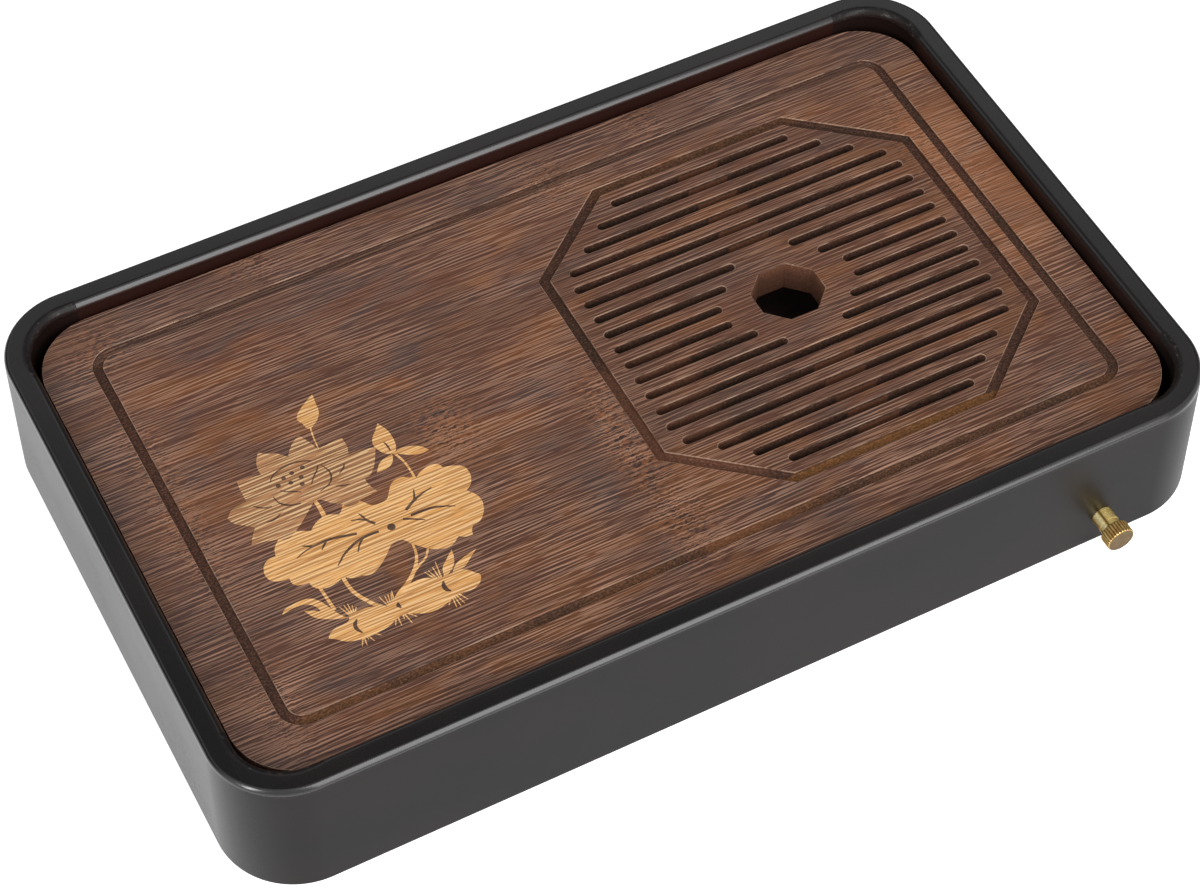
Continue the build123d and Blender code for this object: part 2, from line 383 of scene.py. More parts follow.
@dataclass(frozen=True)
class CarbonisedBamboo(Finish):
    """Steamed dark bamboo with orange patches, mottled at its nodes and in its cuts, with painted
    shade deeper in its cuts, a painted highlight on its eased edges and a painted light patch
    right of the grille.
    """

    name: str = "carbonised_bamboo"
    top_mm: float = 54.0
    straight_mm: tuple[float, float] = (158.0, 83.0)
    grille_x_mm: float = 78.0
    grille_half_mm: tuple[float, float] = (80.0, 78.5)
    grille_cut_mm: tuple[float, float] = (39.0, 31.5)
    ring_mm: tuple[float, float] = (74.2, 80.0)
    rim_mm: tuple[float, float] = (86.6, 92.2)
    mid: Colour = srgb(98, 63, 48)
    dark: Colour = srgb(74, 53, 45)
    pale: Colour = srgb(182, 140, 115)
    orange: Colour = srgb(126, 78, 46)
    fleck: Colour = srgb(150, 96, 62)
    red: Colour = srgb(108, 66, 50)
    slate: Colour = srgb(80, 64, 61)
    line: Colour = srgb(42, 30, 25)
    cut_dark: Colour = srgb(26, 19, 15)
    cut_brown: Colour = srgb(84, 54, 38)
    cut_ochre: Colour = srgb(118, 76, 36)
    cut_red: Colour = srgb(118, 74, 52)
    edge: Colour = srgb(205, 176, 152)
    fibres: Fibres = Fibres()
    hole_edge_mm: tuple[float, float] = (17.0, 16.0)
    ring_run_mm: tuple[float, float] = (49.5, 47.5)
    batten_half_mm: tuple[float, float] = (9.0, 8.0)
    batten_from_mm: tuple[float, float] = (26.0, 30.0)
    batten_to_mm: tuple[float, float] = (73.0, 72.0)
    side_mm: tuple[float, float] = (24.2, 23.8)
    grain_height: float = 0.06 * MM

    # X, Y, half width and half height of each of the cane's nodes, in millimetres
    NODES = (
        (-163.0, 12.0, 7.0, 52.0), (-164.0, -80.0, 6.0, 24.0), (-95.0, 104.0, 10.0, 9.0),
        (23.0, 92.0, 9.0, 13.0), (70.0, 103.0, 8.0, 10.0), (-8.0, -36.0, 7.0, 34.0),
        (-6.0, -76.0, 8.0, 20.0), (-62.0, 0.0, 9.0, 14.0), (-160.0, 92.0, 10.0, 12.0),
        (166.0, 20.0, 8.0, 14.0), (-107.0, 3.0, 9.0, 8.0), (159.0, 42.0, 7.0, 30.0),
    )

    def nodes_of_cane(self, x: Val, y: Val) -> Val:
        """Gives how far a spot lies in one of the cane's nodes, from 0 to 1."""
        total: Val | None = None
        for at_x, at_y, wide, high in self.NODES:
            spot = x.bump_at(at_x, wide * 2.1) * y.bump_at(at_y, high * 1.7)
            total = spot if total is None else total.most(spot)
        return total

    def on_grille(self, x: Val, y: Val) -> Val:
        """Gives 1 within the grille's octagon and 0 outside it."""
        (half_x, half_y), (cut_x, cut_y) = self.grille_half_mm, self.grille_cut_mm
        off_x, off_y = (x - self.grille_x_mm).size(), y.size()
        within = off_x.ease(half_x - 1.0, half_x - 3.0) * off_y.ease(half_y - 1.0, half_y - 3.0)
        return within * (off_x / cut_x + off_y / cut_y).ease(3.52, 3.47)

    def face(self, graph: Graph, place: Val, x: Val, y: Val) -> tuple[Val, Val]:
        """Colours the board's face.

        Args:
            graph: the material's tree.
            place: the place in millimetres.
            x: the place along X in millimetres.
            y: the place along Y in millimetres.

        Returns:
            The colour and the fine fibres.
        """
        knots = self.nodes_of_cane(x, y)
        wavy = graph.noise(place, (0.3, 0.35, 0.35), 3.0, 0.7) - 0.5
        moved = graph.pushed(place, wavy * knots * 2.6)
        grain, fine, threads, strands = self.fibres.draw(graph, moved)
        ragged = (fine - 0.5) * 0.1
        patches = graph.noise(place, (0.024, 0.055, 0.055), 2.0, 0.5, 0.8) + ragged
        reds = graph.noise(place, (0.008, 0.02, 0.02), 2.0, 0.5)
        warm_side = x.ease(-20.0, 120.0) * 0.35 + 0.1
        speckle = graph.noise(grain, (0.4, 0.95, 0.95), 3.0, 0.7)
        grille = self.on_grille(x, y)
        cool = y.ease(60.0, 104.0).most(x.ease(-140.0, -178.0))
        # Painted light: right of the grille, outside it, the face is lightened towards the fleck
        # colour in patches, partly the board's orange tone and partly painted light.
        orange_and_painted_light = (1.0 - grille) * x.ease(95.0, 160.0) * y.bump_at(20.0, 75.0)
        orange_and_painted_light = (orange_and_painted_light * (patches * 2.4)).clamp() * 0.9
        shown = graph.noise(place, (0.03, 0.06, 0.06), 1.0).ease(0.35, 0.65) * 0.5 + 0.5
        shown = shown * (1.0 - grille * 0.25)
        body = graph.mix(strands.ease(0.3, 0.62) * 0.25 + 0.65, self.dark, self.mid)
        colour = graph.layers(
            body,
            ((reds.ease(0.42, 0.62) + warm_side).clamp() * 0.5, self.red),
            (patches.ease(0.52, 0.66) * 0.8, self.orange),
            (patches.ease(0.47, 0.32) * 0.7, self.slate),
            ((speckle.ease(0.46, 0.6) * knots * 1.3).clamp() * 0.8, self.fleck),
            ((speckle.ease(0.49, 0.38) * knots * 1.3).clamp() * 0.75, self.line),
            (grille * 0.3, self.cut_brown),
            (cool * 0.5, self.slate),
            (y.ease(20.0, -90.0) * 0.28, self.line),
            (orange_and_painted_light * (strands * 0.6 + 0.5), self.fleck),
            (fine.ease(0.45, 0.37) * 0.36, self.line),
            (threads.ease(0.45, 0.37) * 0.3, self.line),
            (fine.ease(0.58, 0.64) * shown * 0.52, self.pale),
            (threads.ease(0.58, 0.64) * shown * 0.52, self.pale))
        return colour, fine

    def cut(self, graph: Graph, place: Val, x: Val, y: Val, depth: Val) -> tuple[Val, Val]:
        """Colours the sides and floors of the board's cuts, with painted shade that grows with
        depth.

        Args:
            graph: the material's tree.
            place: the place in millimetres.
            x: the place along X in millimetres.
            y: the place along Y in millimetres.
            depth: how deep below the face, in millimetres.

        Returns:
            The colour and the stipple of cut fibre ends.
        """
        stipple = graph.noise(place, (1.0, 1.6, 1.6), 2.5, 0.6)
        tone = graph.noise(place, (0.03, 0.03, 0.03), 2.0).ease(0.38, 0.62)
        off_x, across = x - self.grille_x_mm, y.size()
        (ring_in, ring_out), (rim_in, rim_out) = self.ring_mm, self.rim_mm
        ring = across.ease(ring_in, ring_in + 0.6) * across.ease(ring_out, ring_out - 1.0)
        ring = ring * off_x.size().ease(*self.ring_run_mm)
        rim = across.ease(rim_in, rim_in + 0.8) * across.ease(rim_out, rim_out - 0.8)
        front = y.ease(10.0, -10.0)
        ochre = ring * (front * 0.65 + 0.3) + rim * front * (tone * 0.4 + 0.1)
        near_hole = off_x.reach(y).ease(*self.hole_edge_mm)
        core = off_x.size().ease(*self.batten_half_mm)
        core = core * across.ease(*self.batten_from_mm) * across.ease(*self.batten_to_mm)
        core = (core * depth.ease(1.4, 1.8)).most(near_hole * 0.8)
        slant = off_x.ease(-44.0, -50.0) * y.ease(6.0, -6.0) * off_x.ease(-84.0, -82.0)
        core = core.most(slant * 0.6)
        # Painted shade: the cuts are darkened towards the dark cut colour the deeper they go, less
        # where the core or the ochre shows, and the pale stipple of fibre ends fades out with
        # depth.
        dim = depth.ease(1.0, 6.0) * 0.5 + 0.2
        dim = dim * (1.0 - core * 0.5) * (1.0 - ochre * 0.8)
        grit = stipple.ease(0.56, 0.42) * (0.7 - ochre * 0.2) * (1.0 - core * 0.6)
        shallow = depth.ease(5.0, 1.5) * 0.12
        colour = graph.layers(
            self.cut_brown, (tone * 0.5, self.red), (core, self.cut_red), (ochre, self.cut_ochre),
            (dim, self.cut_dark), (grit, self.cut_dark),
            (stipple.ease(0.6, 0.72) * shallow, self.edge))
        return colour, stipple

    def dress(self, graph: Graph) -> dict:
        """Adds the nodes, and gives the shader's sockets."""
        place, x, y, z = graph.place()
        depth = z * -1.0 + self.top_mm
        colour, fine = self.face(graph, place, x, y)
        cut_colour, stipple = self.cut(graph, place, x, y, depth)
        out_x = (x.size() - self.straight_mm[0]).most(0.0)
        out_y = (y.size() - self.straight_mm[1]).most(0.0)
        inside = out_x.reach(out_y).ease(*self.side_mm)
        cut = depth.ease(0.38, 0.55) * (inside * 0.75 + 0.25)
        # Painted shade: the floor of the border groove's rear run takes the face's colour darkened
        # towards the dark cut colour.
        rear_floor = y.ease(86.0, 87.0) * y.ease(92.4, 91.4) * depth.ease(1.3, 1.45)
        painted_shade_rear_floor = graph.mix(0.3, colour, self.cut_dark)
        cut_colour = graph.mix(rear_floor * 0.75, cut_colour, painted_shade_rear_floor)
        colour = graph.mix(cut, colour, cut_colour)
        # Painted highlight with some wear: the eased top edges of the board and of its cuts are
        # lightened in patches towards the pale edge colour, where they would catch the light.
        rim = depth.ease(0.02, 0.1) * depth.ease(0.5, 0.38)
        worn = graph.noise(place, (0.12, 0.12, 0.12), 2.0).ease(0.4, 0.6) * 0.3 + 0.06
        colour = graph.mix(rim * worn, colour, self.edge)
        rough = fine.ease(0.35, 0.7) * 0.14 + 0.42 + cut * 0.3
        height = fine + stipple * cut * 2.0
        return {"Base Color": colour, "Roughness": rough,
                "Normal": graph.bump(height, self.grain_height, 0.6), "Specular IOR Level": 0.3}


@dataclass(frozen=True)
class PaleInlay(Finish):
    """Pale uncarbonised bamboo, with the board's own fibres running through it."""

    name: str
    light: Colour
    deep: Colour
    streak: Colour
    shine: Colour = srgb(244, 212, 162)
    fibres: Fibres = Fibres()
    grain_height: float = 0.06 * MM

    def dress(self, graph: Graph) -> dict:
        """Adds the nodes, and gives the shader's sockets."""
        place, *_ = graph.place()
        _, fine, threads, strands = self.fibres.draw(graph, place)
        tone = graph.noise(place, (0.03, 0.09, 0.09), 2.0)
        colour = graph.layers(
            self.light, (tone.ease(0.35, 0.65) * 0.6, self.deep),
            (strands.ease(0.5, 0.3) * 0.25, self.streak),
            (fine.ease(0.46, 0.38) * 0.6, self.streak),
            (threads.ease(0.45, 0.38) * 0.4, self.streak),
            (fine.ease(0.56, 0.62) * 0.6, self.shine))
        normal = graph.bump(fine, self.grain_height, 0.6)
        return {"Base Color": colour, "Roughness": fine * 0.1 + 0.42, "Normal": normal,
                "Specular IOR Level": 0.4}


@dataclass(frozen=True)
class FrameLacquer(Finish):
    """Black lacquer, satin on the walls and glossier on the rim."""

    name: str
    base: Colour = srgb(17, 15, 15)
    warm: Colour = srgb(23, 20, 19)
    inner: Colour = srgb(46, 20, 14)
    wall_gloss: float = 0.32
    left_gloss: float = 0.19
    rim_gloss: float = 0.2
    sheen: float = 0.14
    varnish: float = 0.9
    peel: float = 1.0
    worked_roll: bool = False
    worn: Colour = srgb(78, 72, 68)
    half_mm: tuple[float, float] = (184.2, 109.2)
    corner_mm: tuple[float, float] = (165.0, 90.0)
    roll_mm: tuple[float, float] = (22.4, 21.4)
    fillet_mm: tuple[float, float] = (58.6, 59.2)
    tint: Colour = (1.0, 0.955, 0.97)
    varnish_gloss: float = 0.2

    def inside(self, off_x: Val, off_y: Val, start: float, end: float) -> Val:
        """Goes from 0 to 1 over two distances, in millimetres, outside the inner wall."""
        half_x, half_y = self.half_mm
        return off_x.ease(half_x + start, half_x + end) * off_y.ease(half_y + start, half_y + end)

    def dress(self, graph: Graph) -> dict:
        """Adds the nodes, and gives the shader's sockets."""
        place, x, y, z = graph.place()
        cloud = graph.noise(place, (0.02, 0.02, 0.03), 2.0)
        fine = graph.noise(place, (0.9, 0.9, 0.9), 3.0, 0.55)
        dust = graph.noise(place, (2.2, 2.2, 2.2), 1.0)
        off_x, off_y = x.size(), y.size()
        colour = graph.mix(cloud.ease(0.35, 0.65), self.base, self.warm)
        within = self.inside(off_x, off_y, 0.9, 0.1) * z.ease(60.4, 59.0) * (cloud * 0.5 + 0.4)
        within = within * (y.ease(60.0, 105.0) * 0.6 + 0.4)
        colour = graph.mix(within, colour, self.inner)
        rim = z.ease(56.5, 58.5)
        left = x.ease(-176.0, -190.0)
        wall = left * (self.left_gloss - self.wall_gloss) + self.wall_gloss
        rough = rim * (wall * -1.0 + self.rim_gloss) + wall
        rough = rough + self.inside(off_x, off_y, 3.4, 3.0) * rim * 0.1
        rough = rough + cloud * 0.08 + fine * 0.06 + dust.ease(0.68, 0.74) * 0.1
        height = fine * 0.7 + cloud * 0.3
        normal = graph.bump(height, 0.03 * MM * self.peel, 0.4)
        varnish = z.ease(*self.fillet_mm) * self.varnish
        if self.worked_roll:
            out_x, out_y = off_x - self.corner_mm[0], off_y - self.corner_mm[1]
            roll = out_x.reach(out_y).ease(*self.roll_mm) * z.ease(57.0, 58.2)
            marks = graph.noise(place, (0.5, 0.5, 0.9), 3.0, 0.65)
            normal = graph.bump(marks * roll, 0.6 * MM, 0.8, normal)
            rough = rough + roll * 0.3
            varnish = varnish * (1.0 - roll * 0.8)
            colour = graph.mix(roll * marks.ease(0.56, 0.7) * 0.5, colour, self.worn)
        return {"Base Color": colour, "Roughness": rough, "Normal": normal,
                "Specular IOR Level": self.sheen, "Specular Tint": self.tint,
                "Coat Weight": varnish, "Coat Roughness": self.varnish_gloss}


@dataclass(frozen=True)
class BasinLacquer(Finish):
    """Thin dark lacquer with the wood's grain showing, inside and below the tray."""

    name: str = "basin_lacquer"
    base: Colour = srgb(38, 25, 20)
    warm: Colour = srgb(56, 34, 25)
    pore: Colour = srgb(22, 15, 12)

    def dress(self, graph: Graph) -> dict:
        """Adds the nodes, and gives the shader's sockets."""
        place, *_ = graph.place()
        grain = graph.noise(place, (0.02, 0.5, 0.5), 3.0, 0.6, 0.2)
        pores = graph.noise(place, (0.08, 2.4, 2.4), 2.0)
        colour = graph.layers(self.base, (grain.ease(0.35, 0.65), self.warm),
                              (pores.ease(0.6, 0.72) * 0.5, self.pore))
        normal = graph.bump(grain + pores * 0.5, 0.1 * MM, 0.5)
        return {"Base Color": colour, "Roughness": grain * 0.2 + 0.38, "Normal": normal}


@dataclass(frozen=True)
class RawBamboo(Finish):
    """Bare pale bamboo for the dowels."""

    name: str = "dowel_bamboo"
    base: Colour = srgb(203, 172, 122)
    deep: Colour = srgb(160, 124, 78)
    pore: Colour = srgb(96, 66, 38)

    def dress(self, graph: Graph) -> dict:
        """Adds the nodes, and gives the shader's sockets."""
        place, *_ = graph.place()
        grain = graph.noise(place, (1.1, 1.1, 1.1), 3.0)
        pores = graph.noise(place, (3.0, 3.0, 3.0), 1.0)
        colour = graph.layers(self.base, (grain.ease(0.35, 0.65), self.deep),
                              (pores.ease(0.62, 0.72) * 0.6, self.pore))
        return {"Base Color": colour, "Roughness": grain * 0.2 + 0.6,
                "Normal": graph.bump(grain, 0.1 * MM, 0.5)}


@dataclass(frozen=True)
class Brass(Finish):
    """Turned brass with fine tool marks about the nozzle's axis, and on the nozzle's neck painted
    highlights, a painted dark reflection and painted shade by the side it faces.
    """

    name: str
    gold: Colour
    deep: Colour
    gloss: float
    axis_x_mm: float = 143.5
    axis_z_mm: float = 17.0
    end_mm: float = -132.7
    knurled: bool = False
    painted_light_bands: bool = False
    metal: float = 1.0
    facing: tuple[float, float] = (0.943, 0.334)
    neck_radius_mm: tuple[float, float] = (3.7, 3.9)
    neck_from_mm: tuple[float, float] = (-112.0, -116.0)
    valley_mm: tuple[float, float] = (5.42, 5.1)
    # Colours of the neck's painted highlights, its painted dark reflection line and its painted
    # shade.
    bright: Colour = srgb(255, 240, 184)
    glow: Colour = srgb(255, 226, 150)
    painted_dark_reflection: Colour = srgb(88, 68, 26)
    shade: Colour = srgb(96, 66, 28)
    valley: Colour = srgb(74, 46, 16)
    end: Colour = srgb(58, 42, 24)

    def dress(self, graph: Graph) -> dict:
        """Adds the nodes, and gives the shader's sockets."""
        place, x, y, z = graph.place()
        off_x, off_z = x - self.axis_x_mm, z - self.axis_z_mm
        radius = off_x.reach(off_z)
        rings = graph.node("ShaderNodeCombineXYZ", sockets={"X": radius, "Y": y})
        marks = graph.noise(rings, (7.0, 7.0, 1.0), 2.0, 0.6)
        stain = graph.noise(place, (0.5, 0.5, 0.5), 3.0, 0.6)
        colour = graph.mix(stain.ease(0.4, 0.68) * 0.7, self.gold, self.deep)
        rough = marks * 0.12 + stain * 0.1 + self.gloss
        # Painted light on the neck, by the side that it faces: a pale and a golden band as painted
        # highlights, a dark line between them as a painted reflection, and painted shade towards
        # its outline.
        if self.painted_light_bands:
            side = off_x * self.facing[0] + off_z * self.facing[1]
            neck = radius.ease(*self.neck_radius_mm) * y.ease(*self.neck_from_mm)
            colour = graph.layers(
                colour, (side.bump_at(-2.3, 1.5) * neck * 0.95, self.bright),
                (side.bump_at(1.5, 2.2) * neck * 0.75, self.glow),
                (side.bump_at(-0.7, 0.75) * neck * 0.85, self.painted_dark_reflection),
                (side.size().ease(3.3, 4.0) * neck * 0.7, self.shade))
        if self.knurled:
            valley = radius.ease(*self.valley_mm)
            valley = valley * y.ease(self.end_mm + 0.2, self.end_mm + 0.6)
            end = y.ease(self.end_mm + 0.12, self.end_mm + 0.03)
            colour = graph.layers(colour, (valley * 0.75, self.valley), (end * 0.85, self.end))
            rough = rough + end * 0.14 + valley * 0.12
        return {"Base Color": colour, "Metallic": self.metal, "Roughness": rough,
                "Normal": graph.bump(marks, 0.02 * MM, 0.5)}


@dataclass(frozen=True)
class Rubber(Finish):
    """Matte moulded rubber."""

    name: str
    base: Colour
    dusty: Colour

    def dress(self, graph: Graph) -> dict:
        """Adds the nodes, and gives the shader's sockets."""
        place, *_ = graph.place()
        cloud = graph.noise(place, (0.18, 0.18, 0.18), 3.0)
        grain = graph.noise(place, (2.6, 2.6, 2.6), 2.0)
        colour = graph.mix(cloud.ease(0.42, 0.68) * 0.7, self.base, self.dusty)
        return {"Base Color": colour, "Roughness": grain * 0.2 + 0.6,
                "Normal": graph.bump(grain, 0.05 * MM, 0.6)}


def clear_bench() -> None:
    """Leaves nothing selected and no piece active."""
    if bpy.context.mode != "OBJECT":
        bpy.ops.object.mode_set(mode="OBJECT")
    for piece in bpy.context.view_layer.objects:
        piece.select_set(False)
    bpy.context.view_layer.objects.active = None


def take(piece: bpy.types.Object) -> None:
    """Selects one piece and makes it the active one."""
    clear_bench()
    piece.select_set(True)
    bpy.context.view_layer.objects.active = piece


def freeze(piece: bpy.types.Object) -> bpy.types.Object:
    """Puts a piece's place, turn and scale into its mesh."""
    take(piece)
    bpy.ops.object.transform_apply(location=True, rotation=True, scale=True)
    return piece


def claim(name: str) -> bpy.types.Object:
    """Names the primitive that was just added, and puts its place into its mesh."""
    piece = bpy.context.object
    piece.name = piece.data.name = name
    return freeze(piece)


def add_block(name: str, low: Point, high: Point) -> bpy.types.Object:
    """Adds a block between two corners.

    Args:
        name: the block's name.
        low: its lowest corner.
        high: its highest corner.

    Returns:
        The block, with its place in its mesh.
    """
    clear_bench()
    middle = [(a + b) / 2 for a, b in zip(low, high)]
    size = [b - a for a, b in zip(low, high)]
    bpy.ops.mesh.primitive_cube_add(size=1, location=middle, scale=size)
    return claim(name)


def add_drum(name: str, centre: Point, radius: float, height: float, sides: int = 48,
             turn: Point = (0.0, 0.0, 0.0)) -> bpy.types.Object:
    """Adds a drum.

    Args:
        name: its name.
        centre: its middle.
        radius: its radius.
        height: its height.
        sides: how many sides it has.
        turn: its turn about each axis.

    Returns:
        The drum, with its place in its mesh.
    """
    clear_bench()
    bpy.ops.mesh.primitive_cylinder_add(
        vertices=sides, radius=radius, depth=height, location=centre, rotation=turn)
    return claim(name)


def edit(piece: bpy.types.Object) -> None:
    """Opens a piece for editing."""
    take(piece)
    bpy.ops.object.mode_set(mode="EDIT")


def close_up() -> None:
    """Merges doubles, turns the faces outwards and leaves edit mode."""
    bpy.ops.mesh.select_all(action="SELECT")
    bpy.ops.mesh.remove_doubles(threshold=0.001 * MM)
    bpy.ops.mesh.normals_make_consistent(inside=False)
    bpy.ops.object.mode_set(mode="OBJECT")


def pick(piece: bpy.types.Object, kind: Pick, wanted: Callable) -> None:
    """Selects what passes a test in a piece that is open for editing.

    Args:
        piece: the piece.
        kind: whether vertices, edges or faces are tested.
        wanted: the test, given the element and its middle.
    """
    bpy.ops.mesh.select_mode(type=kind.value)
    bpy.ops.mesh.select_all(action="DESELECT")
    shape = bmesh.from_edit_mesh(piece.data)
    elements, middle = {
        Pick.VERT: (shape.verts, lambda vert: vert.co),
        Pick.EDGE: (shape.edges, lambda edge: (edge.verts[0].co + edge.verts[1].co) / 2),
        Pick.FACE: (shape.faces, lambda face: face.calc_center_median()),
    }[kind]
    for element in elements:
        if wanted(element, middle(element)):
            element.select_set(True)
    shape.select_flush_mode()
    bmesh.update_edit_mesh(piece.data)


def near(value: float, target: float, reach: float = 0.01 * MM) -> bool:
    """Says whether two lengths agree."""
    return abs(value - target) < reach


def level_with(height: float) -> Callable:
    """Gives the test of an edge whose ends both lie at a height."""
    return lambda edge: all(near(vert.co.z, height) for vert in edge.verts)


def draw_out(x: float, y: float, z: float = 0.0) -> None:
    """Extrudes what is selected along a move."""
    bpy.ops.mesh.extrude_region_move(TRANSFORM_OT_translate={"value": (x, y, z)})


def round_edges(radius: float, steps: int) -> None:
    """Rounds the selected edges."""
    bpy.ops.mesh.bevel(offset=radius, offset_type="OFFSET", segments=steps, profile=0.5,
                       affect="EDGES", clamp_overlap=False)


def cut_away(piece: bpy.types.Object, cutter: bpy.types.Object,
             operation: str = "DIFFERENCE") -> None:
    """Cuts a piece with another, which is then thrown away.

    Args:
        piece: the piece that is cut.
        cutter: what it is cut with.
        operation: the kind of cut.
    """
    take(piece)
    knife = piece.modifiers.new("cut", "BOOLEAN")
    knife.operation = operation
    knife.solver = "EXACT"
    knife.object = cutter
    bpy.ops.object.modifier_apply(modifier=knife.name)
    bpy.data.meshes.remove(cutter.data)


def join(pieces: Sequence[bpy.types.Object], name: str) -> bpy.types.Object:
    """Joins pieces into the first."""
    clear_bench()
    for piece in pieces:
        piece.select_set(True)
    bpy.context.view_layer.objects.active = pieces[0]
    bpy.ops.object.join()
    pieces[0].name = pieces[0].data.name = name
    return pieces[0]


def copy_of(piece: bpy.types.Object, name: str) -> bpy.types.Object:
    """Copies a piece with a mesh of its own."""
    take(piece)
    bpy.ops.object.duplicate(linked=False)
    twin = bpy.context.object
    twin.name = twin.data.name = name
    return twin


def corner_place(where: str, place: tuple[float, float]) -> Point:
    """Gives the place of the corner that is named, from the rear right one's X and Y."""
    return (place[0] if "right" in where else -place[0],
            place[1] if "rear" in where else -place[1], 0.0)


def put(piece: bpy.types.Object, quarter_turns: int, place: Point) -> None:
    """Turns a piece about Z by quarter turns, then moves it, all in its mesh."""
    piece.rotation_euler = (0.0, 0.0, quarter_turns * math.pi / 2)
    piece.location = place
    freeze(piece)


def smooth(piece: bpy.types.Object, angle: float = 35.0) -> None:
    """Shades a piece smooth up to an angle in degrees, and keeps its flats flat."""
    take(piece)
    bpy.ops.object.shade_smooth_by_angle(angle=math.radians(angle))
    flats = piece.modifiers.new("flats", "WEIGHTED_NORMAL")
    flats.keep_sharp = True
    bpy.ops.object.modifier_apply(modifier=flats.name)


def lathe(name: str, centre: Point, profile: Sequence[tuple[float, float]], steps: int = 72,
          ring: bool = False) -> bpy.types.Object:
    """Turns a profile about an axis along Y.

    Args:
        name: the piece's name.
        centre: a point on the axis, at Y = 0.
        profile: places along Y and their radii, in metres.
        steps: how many steps the turn has.
        ring: whether the profile closes on itself.

    Returns:
        The turned piece.
    """
    clear_bench()
    start_y, start_radius = profile[0]
    at = (centre[0] + start_radius, start_y, centre[2])
    bpy.ops.mesh.primitive_plane_add(size=MM, location=at)
    piece = claim(name)
    edit(piece)
    bpy.ops.mesh.select_all(action="SELECT")
    bpy.ops.mesh.merge(type="CENTER")
    bpy.ops.mesh.select_mode(type="VERT")
    bpy.ops.mesh.select_all(action="SELECT")
    last_y, last_radius = start_y, start_radius
    stations = list(profile[1:]) + ([profile[0]] if ring else [])
    for along, radius in stations:
        draw_out(radius - last_radius, along - last_y)
        last_y, last_radius = along, radius
    bpy.ops.mesh.select_all(action="SELECT")
    bpy.ops.mesh.remove_doubles(threshold=0.0005 * MM)
    bpy.ops.mesh.select_all(action="SELECT")
    bpy.ops.mesh.spin(steps=steps, angle=2 * math.pi, center=centre, axis=(0.0, 1.0, 0.0))
    close_up()
    return piece


def finish_piece(piece: bpy.types.Object, body: Body, slot: str, material: bpy.types.Material,
                 *nodes: str) -> None:
    """Dresses a finished piece and hangs it on its body.

    Args:
        piece: the piece.
        body: the body that it rides on.
        slot: the record's material slot, which is not used.
        material: its finish.
        nodes: the frame's nodes that it stands for.
    """
    piece.data.materials.clear()
    piece.data.materials.append(material)
    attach(piece, body.value)
    if nodes:
        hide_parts(*nodes)
    log.info("%s: %d faces", piece.name, len(piece.data.polygons))


def dress_node(name: str, material: bpy.types.Material) -> None:
    """Gives one of the frame's own nodes its finish."""
    node = frame["nodes"][name]
    if not node.material_slots:
        node.data.materials.append(material)
    for slot in node.material_slots:
        slot.material = material
    log.info("%s: kept as it is", name)


